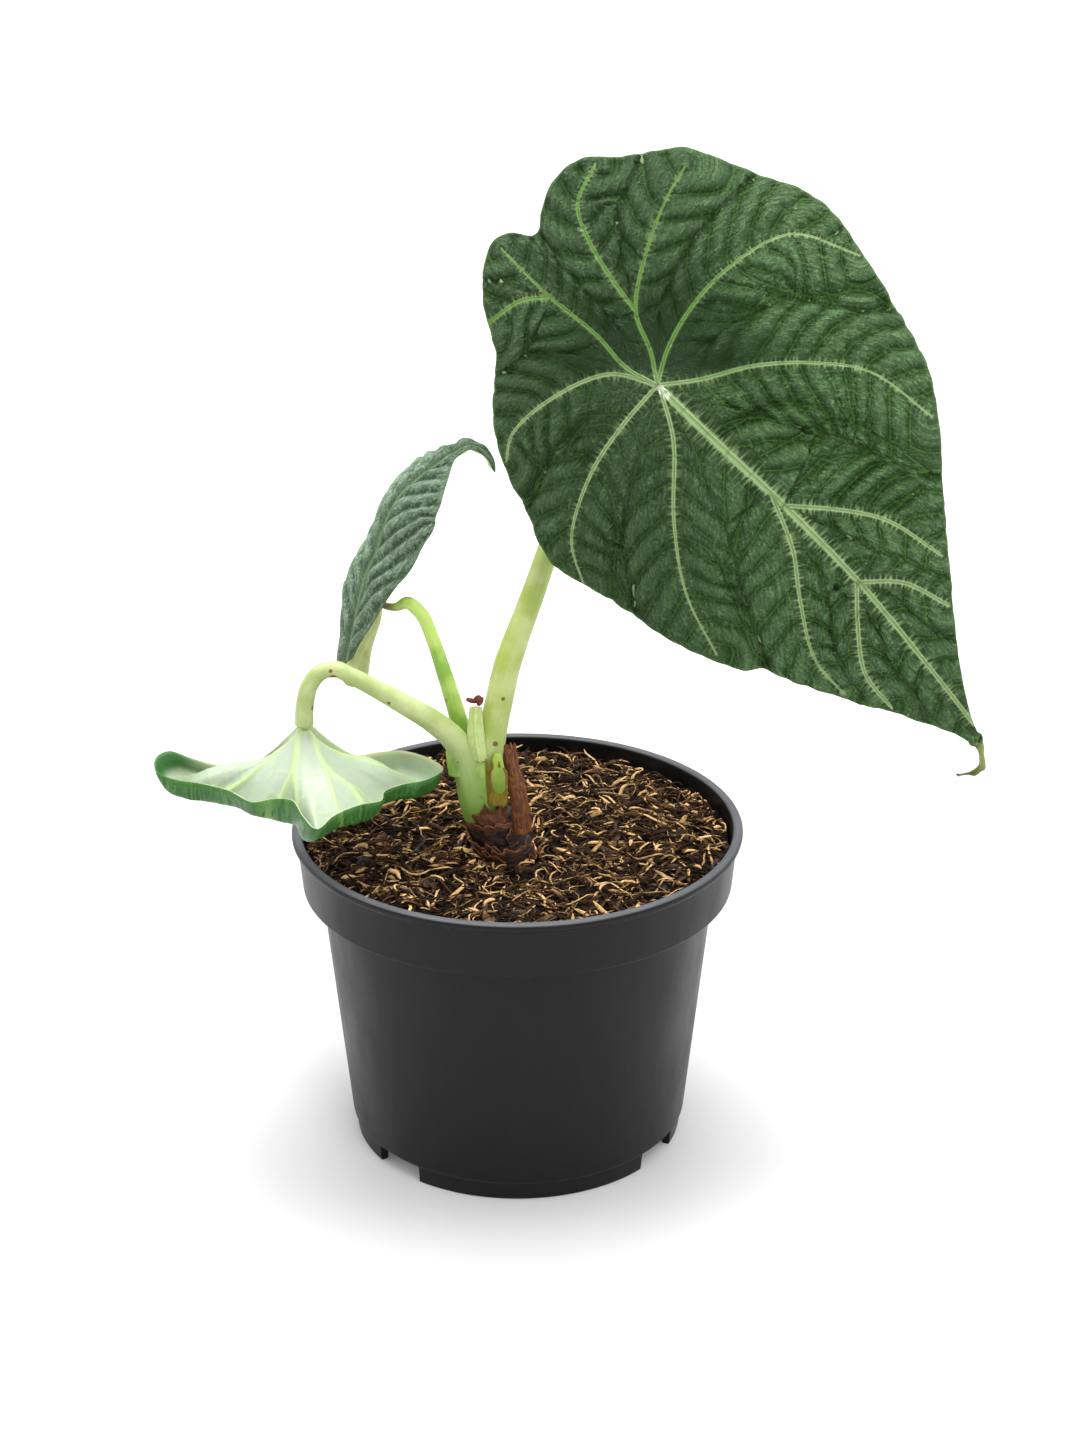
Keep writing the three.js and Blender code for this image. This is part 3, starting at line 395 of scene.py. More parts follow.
def loft(grid, **values):
    """Closed form over a grid of rings: quads between rings and a fan of triangles to the middle
    of each end ring. The values have one entry for each grid point, and an end takes its ring's
    mean."""
    rows, columns = grid.shape[:2]
    i, j = np.meshgrid(np.arange(rows - 1), np.arange(columns), indexing="ij")
    low, high, turn = i * columns, (i + 1) * columns, (j + 1) % columns
    quads = np.stack([low + j, low + turn, high + turn, high + j], -1)
    k, after = np.arange(columns), np.roll(np.arange(columns), -1)
    base, first = (rows - 1) * columns, rows * columns
    start = np.stack([np.full(columns, first), after, k], -1)
    end = np.stack([np.full(columns, first + 1), base + k, base + after], -1)
    points = np.vstack([grid.reshape(-1, 3), grid[0].mean(axis=0), grid[-1].mean(axis=0)])
    values = {key: np.concatenate([v.ravel(), [v[0].mean(), v[-1].mean()]])
              for key, v in values.items()}
    return Form(points, quads.reshape(-1, 4), np.vstack([start, end]), **values).outward()


def rod(path, radii, stations, sides, depth=1.0, shape=None):
    """Rod along a smooth path: middle + side r cos(a) + outward r sin(a), where side = tangent x
    the way to the viewer and the radius r runs smoothly through the given ones. `shape` multiplies
    r by a function of t and a. The ends are rounded off over the last two stations."""
    t = np.linspace(0, 1, stations)
    middle = smooth_curve(path, t)
    radius = smooth_curve([(i, r) for i, r in enumerate(radii)], t)[:, 1]
    tangent = unit(np.gradient(middle, axis=0))
    side = unit(np.cross(tangent, TOWARDS_VIEWER))
    outward = np.cross(side, tangent)
    end = np.minimum(t, 1 - t) * (stations - 1)
    radius = radius * np.sqrt(np.clip(1 - (1 - np.clip(end / 2, 0, 1)) ** 2 * 0.94, 0, 1))
    tt, aa = np.meshgrid(t, full_turn(sides), indexing="ij")
    r = radius[:, None] * (1 if shape is None else shape(tt, aa))
    grid = (middle[:, None] + side[:, None] * (r * np.cos(aa))[..., None]
            + outward[:, None] * (r * depth * np.sin(aa))[..., None])
    return loft(grid, share=tt, around=aa)


def sheet(grid, thickness, share, around):
    """Thin closed form over a grid: the grid moved half its thickness to either side along its
    normals, with its four edges joined. The two values are rows, columns or whole grids."""
    rows, columns = grid.shape[:2]
    normal = unit(np.cross(np.gradient(grid, axis=0), np.gradient(grid, axis=1)))
    half = thickness / 2
    points = np.vstack([(grid + normal * half).reshape(-1, 3),
                        (grid - normal * half).reshape(-1, 3)])
    number = np.arange(rows * columns).reshape(rows, columns)
    top = np.stack([number[:-1, :-1], number[:-1, 1:], number[1:, 1:], number[1:, :-1]],
                   -1).reshape(-1, 4)
    edge = np.concatenate([number[0, :-1], number[:-1, -1], number[-1, :0:-1], number[:0:-1, 0]])
    after, count = np.roll(edge, -1), rows * columns
    wall = np.stack([edge, edge + count, after + count, after], -1)
    share, around = (np.tile(np.broadcast_to(v, (rows, columns)).ravel(), 2)
                     for v in (share, around))
    quads = np.vstack([top, top[:, ::-1] + count, wall])
    return Form(points, quads, share=share, around=around).outward()


def vein_reach(points, veins):
    """How each flat point lies to the veins: distance to the nearest, length along it, its number,
    the side, the distance to the second nearest, and that one's number and length along it."""
    near = np.full(len(points), 1e9)
    second, along, side = near.copy(), near.copy(), np.ones(len(points))
    number, other, other_along = np.zeros((3, len(points)))
    for k, knots in enumerate(veins):
        line = smooth_curve(np.asarray(knots, float), np.linspace(0, 1, len(knots) * 5))
        start, step = line[:-1], np.diff(line, axis=0)
        long = np.linalg.norm(step, axis=1)
        run = run_along(line)[:-1]
        gap = points[:, None] - start
        t = np.clip((gap * step).sum(-1) / long**2, 0, 1)
        off = gap - t[..., None] * step
        best = np.argmin((off**2).sum(-1), axis=1)
        pick = np.arange(len(points)), best
        distance = np.linalg.norm(off[pick], axis=1)
        cross = step[best, 0] * gap[pick][:, 1] - step[best, 1] * gap[pick][:, 0]
        closer = distance < near
        run_here = run[best] + t[pick] * long[best]
        other = np.where(closer, number, np.where(distance < second, k, other))
        other_along = np.where(closer, along, np.where(distance < second, run_here, other_along))
        second = np.where(closer, near, np.minimum(second, distance))
        along = np.where(closer, run_here, along)
        number = np.where(closer, k, number)
        side = np.where(closer, np.sign(cross), side)
        near = np.where(closer, distance, near)
    return near, along, number, side, second, other, other_along


def nearest(*offsets):
    """The signed offset of least size at each point."""
    stack = np.stack(offsets)
    return stack[np.abs(stack).argmin(axis=0), np.arange(stack.shape[1])]


def fan(rim, place, facing, spokes, rings, spread=1.0):
    """Fan of points from the junction to the rim: ring i lies at the fraction
    (i / rings) ** spread of each spoke. Gives the flat points, their fractions, their places in
    space and the normals, turned to face a direction."""
    fraction = (np.arange(1, rings + 1) / rings) ** spread
    f = np.repeat(fraction[:, None], spokes, 1)
    flat = rim[None] * f[..., None]
    middle = place(np.broadcast_to(rim[None], flat.shape), f)
    outwards = np.gradient(middle, fraction, axis=0)
    around = np.roll(middle, -1, axis=1) - np.roll(middle, 1, axis=1)
    normal = unit(np.cross(outwards, around))
    normal = normal * np.sign(normal.reshape(-1, 3).mean(axis=0) @ np.array(facing, float))
    hub = place(rim[None, :1], np.zeros((1, 1)))[0]
    points = np.vstack([hub, middle.reshape(-1, 3)])
    normals = np.vstack([unit(normal[0].mean(axis=0))[None], normal.reshape(-1, 3)])
    return (np.vstack([np.zeros((1, rim.shape[1])), flat.reshape(-1, rim.shape[1])]),
            np.concatenate([[0], f.ravel()]), points, normals)


def fan_faces(spokes, rings):
    """Triangles round the hub and quads between the rings of a fan."""
    k = np.arange(spokes)
    hub = np.stack([np.zeros(spokes, int), 1 + k, 1 + (k + 1) % spokes], -1)
    i, j = np.meshgrid(np.arange(rings - 1), k, indexing="ij")
    at = lambda row, col: 1 + row * spokes + col % spokes
    quads = np.stack([at(i, j), at(i + 1, j), at(i + 1, j + 1), at(i, j + 1)], -1).reshape(-1, 4)
    return quads, hub


def blade(rim_knots, place, dress, facing, spokes, rings, thickness, spread):
    """Leaf blade as two fans over one flat pattern, the upper one twice as fine both ways, joined
    at the rim. `dress` gives, for flat points and fractions, how far the face is raised and the
    finish's values."""
    rim = even_curve(rim_knots, spokes)
    forms = []
    for step, sign in ((1, 1), (2, -1)):
        flat, fraction, points, normals = fan(rim[::step], place, facing, spokes // step,
                                              rings // step, spread)
        raised, values = dress(flat, fraction, sign)
        half = sign * thickness / 2 * (0.35 + 0.65 * ease(1 - fraction, 0, 0.012))
        forms.append(Form(points + normals * (raised + half)[:, None],
                          *fan_faces(spokes // step, rings // step),
                          **values))
    upper, lower = forms
    lower.quads, lower.triangles = lower.quads[:, ::-1], lower.triangles[:, ::-1]
    whole = joined(forms)
    j = np.arange(spokes // 2)
    a0 = 1 + (rings - 1) * spokes
    b0 = len(upper.points) + 1 + (rings // 2 - 1) * (spokes // 2)
    a, b, nxt = a0 + 2 * j, b0 + j, b0 + (j + 1) % (spokes // 2)
    seam = np.vstack([np.stack(c, -1) for c in (
        (a, b, a + 1), (a + 1, b, nxt), (a + 1, nxt, a0 + (2 * j + 2) % spokes))])
    whole.triangles = np.vstack([whole.triangles, seam])
    quad_side = np.concatenate([np.zeros(len(upper.quads), int), np.ones(len(lower.quads), int)])
    tri_side = np.concatenate([
        np.zeros(len(upper.triangles), int), np.ones(len(lower.triangles), int),
        np.zeros(len(seam), int)])
    return whole.outward(), np.concatenate([quad_side, tri_side])


class Value:
    """One output of a shader node. An expression on it adds Math nodes to the same tree."""

    def __init__(self, finish, socket):
        self.finish, self.socket = finish, socket

    def _math(self, operation, *terms):
        return self.finish.node("ShaderNodeMath", {"operation": operation}, terms)

    def __add__(self, other):
        return self._math("ADD", self, other)

    def __sub__(self, other):
        return self._math("SUBTRACT", self, other)

    def __rsub__(self, other):
        return self._math("SUBTRACT", other, self)

    def __mul__(self, other):
        return self._math("MULTIPLY", self, other)

    def __pow__(self, other):
        return self._math("POWER", self, other)

    __radd__, __rmul__ = __add__, __mul__


class Finish:
    """A material under work: constants go on its shader's own sockets, and what varies is linked at
    the end."""

    def __init__(self, name, **constants):
        self.material = bpy.data.materials.new(name)
        self.material.use_nodes = True
        self.tree = self.material.node_tree
        self.shader = self.tree.nodes["Principled BSDF"]
        for socket, value in constants.items():
            self.shader.inputs[socket.replace("_", " ")].default_value = value
        self.mm = self.node("ShaderNodeVectorMath", {"operation": "SCALE"},
                            {0: self.node("ShaderNodeTexCoord", output=3), "Scale": 1000.0})

    def node(self, kind, settings=None, inputs=(), output=0):
        """Adds a node: its settings first, where `stops` fills a colour ramp, then its inputs'
        values or links."""
        node = self.tree.nodes.new(kind)
        for key, value in (settings or {}).items():
            if key == "stops":
                elements = node.color_ramp.elements
                elements.remove(elements[1])
                elements[0].position, elements[0].color = value[0][0], (*value[0][1], 1)
                for position, colour in value[1:]:
                    elements.new(position).color = (*colour, 1)
            else:
                setattr(node, key, value)
        for key, value in (inputs.items() if isinstance(inputs, dict) else enumerate(inputs)):
            if isinstance(value, Value):
                self.tree.links.new(value.socket, node.inputs[key])
            else:
                node.inputs[key].default_value = value
        return Value(self, node.outputs[output])

    def given(self, name, vector=False):
        """The piece's own value or vector of that name."""
        return self.node("ShaderNodeAttribute", {"attribute_name": name}, output=1 if vector else 2)

    def axis(self, number):
        """Place along x, y or z in millimetres, by its number 0, 1 or 2."""
        return self.node("ShaderNodeSeparateXYZ", {}, [self.mm], output=number)

    def pair(self, first, second):
        """Vector of two values."""
        return self.node("ShaderNodeCombineXYZ", {}, [first, second, 0.0])

    def line(self, name, low, high):
        """Distance to the nearest line: the size of the signed offset close by, and the plain
        distance farther out, where the offset jumps from one line's to the next."""
        far = self.given(name + "_far")
        close = self.node("ShaderNodeMath", {"operation": "ABSOLUTE"}, [self.given(name)])
        return close + self.eased(far, low, high) * (far - close)

    def eased(self, value, low, high, first=0.0, last=1.0):
        """Smooth step of a value between two limits."""
        return self.node("ShaderNodeMapRange", {"interpolation_type": "SMOOTHSTEP"},
                         [value, low, high, first, last])

    def stretched(self, vector, x, y, z):
        """A vector with each part multiplied."""
        return self.node("ShaderNodeVectorMath", {"operation": "MULTIPLY"},
                         {0: vector, 1: (x, y, z)})

    def noise(self, vector, scale, detail=2.0, roughness=0.5, distortion=0.0):
        """Noise from 0 to 1."""
        return self.node("ShaderNodeTexNoise", {}, {
            "Vector": vector, "Scale": scale, "Detail": detail, "Roughness": roughness,
            "Distortion": distortion})

    def cells(self, vector, scale):
        """Distance in a pattern of random cells."""
        return self.node("ShaderNodeTexVoronoi", {}, {"Vector": vector, "Scale": scale})

    def ramp(self, value, *stops):
        """Colours along a value."""
        return self.node("ShaderNodeValToRGB", {"stops": stops}, [value])

    def mixed(self, share, first, second):
        """First colour turning into the second with the share."""
        colours = [c if isinstance(c, Value) else (*c, 1) for c in (first, second)]
        return self.node("ShaderNodeMix", {"data_type": "RGBA", "clamp_factor": True},
                         {0: share, 6: colours[0], 7: colours[1]}, output=2)

    def spot(self, place, radius):
        """1 at a place given in millimetres, 0 outside the radius round it."""
        off = self.node("ShaderNodeVectorMath", {"operation": "DISTANCE"}, {0: self.mm, 1: place},
                        output=1)
        return self.eased(off, radius * 0.5, radius, 1.0, 0.0)

    def done(self, colour, roughness=None, relief=None):
        """Links the colour, the roughness and a relief in millimetres, and gives the material."""
        def put(socket, value):
            self.tree.links.new(value.socket, self.shader.inputs[socket])
        put("Base Color", colour)
        if roughness is not None:
            put("Roughness", roughness)
        if relief is not None:
            put("Normal", self.node("ShaderNodeBump", {}, {
                "Strength": 1.0, "Distance": RELIEF_STEP, "Height": relief}))
        return self.material


class PlantSizes(bpy.types.PropertyGroup):
    """Sizes of the plant and its pot's filling."""

    blade_thickness: bpy.props.FloatProperty(
        name="Blade thickness", description="Thickness of the leaf blades", default=0.0007,
        min=0.0006, max=0.0015,
        unit="LENGTH", precision=4)
    quilting: bpy.props.FloatProperty(
        name="Quilting",
        description="How far the panels between main veins of the large leaf stand up",
        default=0.0024, min=0, max=0.004, unit="LENGTH", precision=4)
    fibres: bpy.props.IntProperty(
        name="Fibres", description="Curled fibres on top of the potting mix", default=3000, min=100,
        max=4500)
    chips: bpy.props.IntProperty(
        name="Chips", description="Straw and bark chips on top of the potting mix", default=1500,
        min=50, max=2000)
    crumbs: bpy.props.IntProperty(
        name="Crumbs", description="Dark crumbs of the potting mix", default=2200, min=50, max=4000)


class PlantColours(bpy.types.PropertyGroup):
    """Colours of the plant, the pot and the mix."""

    def colour(name, description, *display):
        return bpy.props.FloatVectorProperty(
            name=name, description=description, subtype="COLOR", size=3, min=0, max=1,
            default=tint(*display))

    pot: colour("Pot", "Colour of the pot's plastic", 15, 15, 16)
    # The groove colour is partly painted shade and the panel colour partly a painted sheen.
    leaf_deep: colour("Leaf grooves", "Large leaf along its veins and folds", 24, 56, 12)
    leaf_swell: colour("Leaf panels", "Large leaf on top of its panels", 74, 104, 62)
    leaf_vein: colour("Leaf veins", "Main veins of the large leaf", 146, 172, 116)
    grey_leaf: colour("Grey leaf", "Panels of the grey leaf", 104, 124, 102)
    pale_leaf: colour("Pale leaf", "Underside of the hanging leaf", 168, 180, 160)
    stalk: colour("Stalks", "Pale side of the stalks", 176, 188, 120)
    stalk_green: colour("Stalks, green", "Green side of the stalks", 148, 168, 74)
    straw: colour("Straw", "Lightest chips and fibres of the mix", 216, 174, 118)


def sizes():
    """The sizes that the user has set."""
    return bpy.context.scene.alocasia_sizes


def colours():
    """The colours that the user has set."""
    return bpy.context.scene.alocasia_colours


class PieceOperator(bpy.types.Operator):
    """Makes pieces of the plant"""

    bl_options = {"REGISTER", "UNDO"}


class MakePot(PieceOperator):
    """Turned nursery pot with a lip, a rim band, a notched foot ring and four drain holes"""

    bl_idname = "alocasia.make_pot"
    bl_label = "Pot"

    @staticmethod
    def rounded(profile, radius):
        """The profile with each corner replaced by five points of a quadratic curve that starts and
        ends a radius, or two fifths of the side, before and after it."""
        p = np.asarray(profile, float)
        before, here, after = p[:-2], p[1:-1], p[2:]
        reach = lambda other: np.minimum(radius, 0.4 * np.linalg.norm(other - here, axis=1))
        a = here + unit(before - here) * reach(before)[:, None]
        b = here + unit(after - here) * reach(after)[:, None]
        t = np.linspace(0, 1, 5)[None, :, None]
        arcs = a[:, None] * (1 - t) ** 2 + 2 * here[:, None] * t * (1 - t) + b[:, None] * t**2
        return np.vstack([p[:1], arcs.reshape(-1, 2), p[-1:]])

    def execute(self, context):
        profile = self.rounded(POT_PROFILE, 0.5)[1:-1]
        half = NOTCH_HALF_WIDTH / FOOT_RADIUS
        notches = np.radians(NOTCH_ANGLES)
        edges = np.concatenate([
            notches + s * (half + e) for s in (-1, 1) for e in (-0.004, 0.004)]) % (2 * math.pi)
        angle = np.sort(np.concatenate([full_turn(POT_SEGMENTS), edges]))
        off = np.abs((angle[:, None] - notches + math.pi) % (2 * math.pi) - math.pi).min(axis=1)
        in_notch = off < half
        radius, height = profile[:, :1], profile[:, 1:]
        foot = (radius > 30) & (height < NOTCH_TOP)
        height = np.where(foot & in_notch, NOTCH_TOP, height)
        form = loft(turned(radius, angle, height))
        pot = piece("pot_shell", form, [self.plastic()], ["pot"])
        self.drill(pot, notches)
        pot.data.set_sharp_from_angle(angle=math.radians(40))
        return {"FINISHED"}

    @staticmethod
    def drill(pot, directions):
        """Cuts a drain hole through the floor at the given directions."""
        bore = turned(DRAIN_RADIUS, full_turn(DRAIN_SIDES), np.array(DRILL_ENDS)[:, None])
        form = joined([loft(bore + turned(DRAIN_RING, way, 0)) for way in directions])
        mesh = bpy.data.meshes.new("drills")
        mesh.from_pydata((form.points * MM).tolist(), [],
                         form.quads.tolist() + form.triangles.tolist())
        drills = placed("drills", mesh)
        cut = pot.modifiers.new("drain_holes", "BOOLEAN")
        cut.operation, cut.solver, cut.object = "DIFFERENCE", "EXACT", drills
        graph = bpy.context.evaluated_depsgraph_get()
        drilled = bpy.data.meshes.new_from_object(pot.evaluated_get(graph))
        pot.modifiers.clear()
        old, pot.data = pot.data, drilled
        bpy.data.meshes.remove(old)
        bpy.data.objects.remove(drills)

    @staticmethod
    def plastic():
        """Charcoal moulded plastic: fine grain, faint rubbed patches, upright flow marks and a
        painted highlight on the lip's top, paler grey where the light from above falls."""
        f = Finish("pot_plastic", Specular_IOR_Level=0.2)
        grain = f.noise(f.mm, 2.4, 3, 0.6)
        rubbed = f.noise(f.stretched(f.mm, 0.05, 0.05, 0.02), 1.0, 4, 0.6)
        flow = f.noise(f.stretched(f.mm, 0.5, 0.5, 0.03), 1.0, 3, 0.5)
        dust = f.eased(rubbed + flow * 0.3, 0.62, 0.92)
        dark = colours().pot
        colour = f.mixed(dust * 0.5, dark, tuple(c * 1.9 for c in dark))
        # Painted highlight: the top of the lip turns pale grey, patchy with the rubbed noise, for
        # the light falling on it from above.
        colour = f.mixed(f.eased(f.axis(2), 88.6, 89.0) * (rubbed * 0.6 + 0.5), colour,
                         tint(92, 94, 98))
        return f.done(colour, f.eased(rubbed, 0.3, 0.75, 0.34, 0.52), grain * 0.012 + flow * 0.02)


class MakeMix(PieceOperator):
    """Potting mix: an uneven bed with curled fibres, straw, bark flakes, crumbs and buff specks"""

    bl_idname = "alocasia.make_mix"
    bl_label = "Potting mix"

    @staticmethod
    def surface(x, y):
        """Height of the bed: its mean level, a slow swell, lumps of 9 and 3.5 mm, a dip towards the
        wall and one round the rhizome."""
        lumps = 0.9 * rumple(x, y, 23, 1) + 0.7 * rumple(x, y, 9, 2) + 0.35 * rumple(x, y, 3.5, 3)
        wall = 1.2 * ease(np.hypot(x, y), 50, SOIL_RADIUS)
        return SOIL_TOP - 0.5 + lumps - wall - 1.4 * hump(np.hypot(x + 2.6, y + 13.5), 11)

    @staticmethod
    def scattered(random, count, outer=55.4):
        """Places spread evenly over the bed, and pushed clear of the rhizome."""
        radius = outer * np.sqrt(random.random(count))
        angle = 2 * math.pi * random.random(count)
        x, y = radius * np.cos(angle), radius * np.sin(angle)
        from_stem = np.hypot(x + 2.6, y + 12.5)
        push = np.maximum(RHIZOME_CLEARANCE - from_stem, 0) / np.maximum(from_stem, 0.1)
        return x + (x + 2.6) * push, y + (y + 12.5) * push

    def strands(self, random, count, length, width, curl, stations, sides, lift, tilt, flat=1.0):
        """Many small rods at once: each follows an arc of its own length and bend, tapers to both
        ends, and lies on the bed or rises from it. Arrays run over strand, station and side."""
        x, y = self.scattered(random, count)
        heading = 2 * math.pi * random.random(count)
        long = length[0] + (length[1] - length[0]) * random.random(count) ** 2
        bend = curl * random.normal(0, 1, count)
        s = np.linspace(-0.5, 0.5, stations)
        turn = heading[:, None] + bend[:, None] * s + 0.25 * np.sin(9 * s + heading[:, None] * 3)
        step = long[:, None] / (stations - 1)
        dx, dy = np.cos(turn) * step, np.sin(turn) * step
        px = x[:, None] + np.cumsum(dx, 1) - dx.sum(1, keepdims=True) / 2
        py = y[:, None] + np.cumsum(dy, 1) - dy.sum(1, keepdims=True) / 2
        pull = np.minimum(1, MIX_REACH / np.maximum(np.hypot(px, py), 1e-6))
        px, py = px * pull, py * pull
        rise = tilt * random.normal(0, 1, count)
        arch = random.random(count)
        ride = lift[0] + (lift[1] - lift[0]) * random.random(count)
        height = (self.surface(px, py) * 0.6 + self.surface(x, y)[:, None] * 0.4 + ride[:, None]
                  + rise[:, None] * s * long[:, None] + (0.9 * arch)[:, None] * (0.25 - s**2) * 4)
        height = np.minimum(height, SOIL_TOP + MIX_CREST)
        middle = np.stack([px, py, height], -1)
        tangent = unit(np.gradient(middle, axis=1))
        side = unit(np.cross(tangent, np.array([0.0, 0.0, 1.0])))
        upward = np.cross(side, tangent)
        thick = (width[0] + (width[1] - width[0]) * random.random(count) ** 2)[:, None]
        thick = thick * (0.22 + 0.78 * np.clip(1 - (2 * s[None]) ** 4, 0, 1)) / 2
        spin = math.pi * random.random(count)[:, None, None] * (1 if flat == 1 else 0.35)
        angle = full_turn(sides)[None, None]
        a, b = np.cos(angle), np.sin(angle) * flat
        c, d = a * np.cos(spin) - b * np.sin(spin), a * np.sin(spin) + b * np.cos(spin)
        points = (middle[:, :, None] + side[:, :, None] * (thick[..., None] * c)[..., None]
                  + upward[:, :, None] * (thick[..., None] * d)[..., None])
        ring, per = np.arange(sides), stations * sides
        i, j = np.meshgrid(np.arange(stations - 1), ring, indexing="ij")
        low, high, turn = i * sides, (i + 1) * sides, (j + 1) % sides
        quads = np.stack([low + j, high + j, high + turn, low + turn], -1).reshape(-1, 4)
        caps = np.stack([np.zeros(sides - 2, int), ring[1:-1], ring[2:]], -1)
        caps = np.vstack([caps, caps[:, ::-1] + per - sides])
        starts = (np.arange(count) * per)[:, None, None]
        tone = np.repeat(random.random(count), per)
        streak = np.tile(np.repeat(s, sides), count) * np.repeat(long, per)
        return Form(points, (quads[None] + starts).reshape(-1, 4),
                    (caps[None] + starts).reshape(-1, 3), tone=tone, streak=streak)

    def crumbs(self, random, count, size, lift):
        """Many small lumps at once: eight corners round a waist and one at either end, each of its
        own reach, pressed into the bed."""
        corner = np.array([(1, 0, 0), (0, 1, 0), (-1, 0, 0), (0, -1, 0), (0, 0, 1), (0, 0, -1),
                           (.7, .7, .1), (-.7, .7, -.1), (-.7, -.7, .1), (.7, -.7, -.1)])
        waist = np.array([0, 6, 1, 7, 2, 8, 3, 9])
        face = np.stack([waist, np.roll(waist, -1), np.full(8, 4)], -1)
        face = np.vstack([face, np.stack([face[:, 1], face[:, 0], np.full(8, 5)], -1)])
        x, y = self.scattered(random, count, outer=55.2)
        big = (size[0] + (size[1] - size[0]) * random.random(count) ** 2)[:, None, None]
        uneven = 0.55 + 0.6 * random.random((count, len(corner), 1))
        squash = stacked(0.7 + 0.6 * random.random(count), 0.7 + 0.6 * random.random(count), 0.7)
        place = np.stack([x, y, self.surface(x, y) + lift], -1)
        points = place[:, None] + corner[None] * uneven * squash[:, None] * big / 2
        starts = (np.arange(count) * len(corner))[:, None, None]
        tone = np.repeat(random.random(count), len(corner))
        return Form(points, triangles=(face[None] + starts).reshape(-1, 3), tone=tone)

    def execute(self, context):
        angle = full_turn(SOIL_SEGMENTS)
        rings = [turned(r, angle, z) for r, z in PLUG_PROFILE]
        for r in np.linspace(SOIL_RADIUS, 1, 64):
            x, y = r * np.cos(angle), r * np.sin(angle)
            rings.append(stacked(x, y, self.surface(x, y)))
        piece("mix_bed", loft(np.stack(rings)), [self.peat()], ["soil"])
        random = np.random.default_rng(MIX_SEED)
        fibres = self.strands(random, sizes().fibres, length=(3, 15), width=(0.3, 0.72), curl=1.8,
                              stations=7, sides=3, lift=(-0.3, 2.3), tilt=0.26)
        straw = self.strands(random, sizes().chips, length=(4, 11), width=(0.6, 1.5), curl=0.6,
                             stations=6, sides=6, lift=(0.2, 2.4), tilt=0.3, flat=0.4)
        bark = self.strands(random, BARK_FLAKES, length=(5, 12), width=(2, 4.6), curl=0.4,
                            stations=7, sides=8, lift=(-0.1, 0.9), tilt=0.1, flat=0.26)
        crumbs = self.crumbs(random, sizes().crumbs, size=(0.8, 2.8), lift=0.2)
        specks = self.crumbs(random, SPECKS, size=(0.5, 1.0), lift=1.2)
        for name, form, finish in (
                ("mix_fibres", fibres, self.strand_finish("coir_fibre", 0)),
                ("mix_straw", straw, self.strand_finish("straw_chip", 0.1)),
                ("mix_bark", bark, self.bark()),
                ("mix_crumbs", crumbs, self.peat()),
                ("mix_specks", specks, self.speck())):
            piece(name, form, [finish])
        return {"FINISHED"}

    @staticmethod
    def peat():
        """Dark damp peat and coir dust, brown with lighter grains."""
        f = Finish("peat", Specular_IOR_Level=0.2, Roughness=0.95)
        grain = f.noise(f.mm, 1.1, 4, 0.7)
        colour = f.ramp(grain, (0.35, tint(10, 6, 4)), (0.75, tint(66, 44, 25)),
                        (0.55, tint(28, 18, 10)))
        return f.done(colour, relief=grain * 0.6)

    @staticmethod
    def strand_finish(name, lighter):
        """Coir and straw: each strand its own brown to straw, streaked along its length, darker in
        patches."""
        f = Finish(name, Specular_IOR_Level=0.12)
        tone, streak = f.given("tone"), f.given("streak")
        patch = f.noise(f.mm, 0.45, 3, 0.6)
        share = tone**1.5 + (patch - 0.5) * 0.7 + lighter
        light = colours().straw
        colour = f.ramp(share, (0.0, tint(22, 14, 8)), (1.0, light),
                        (0.34, tint(44, 28, 16)), (0.62, tint(88, 60, 34)),
                        (0.84, tuple(c * 0.7 for c in light)))
        fine = f.noise(f.pair(streak * 0.7, tone * 91.0), 1.0, 2)
        colour = f.mixed(f.eased(fine, 0.55, 0.8) * 0.4, colour, tint(60, 38, 20))
        return f.done(colour, f.eased(patch, 0.3, 0.7, 0.6, 0.85), fine * 0.1)

    @staticmethod
    def bark():
        """Flat dark flakes of bark with a fine lengthwise grain."""
        f = Finish("bark_flake", Specular_IOR_Level=0.35)
        tone = f.given("tone")
        grain = f.noise(f.mm, 2.2, 4, 0.65)
        colour = f.ramp(tone * 0.6 + grain * 0.5, (0.2, tint(12, 9, 8)), (0.85, tint(92, 62, 36)),
                        (0.55, tint(38, 26, 18)))
        return f.done(colour, f.eased(grain, 0.3, 0.7, 0.5, 0.8), grain * 0.15)

    @staticmethod
    def speck():
        """Small grains from cream to buff."""
        f = Finish("buff_speck", Roughness=0.7)
        colour = f.mixed(f.given("tone"), tint(214, 196, 164), tint(186, 150, 104))
        return f.done(colour, relief=f.noise(f.mm, 3.0) * 0.1)


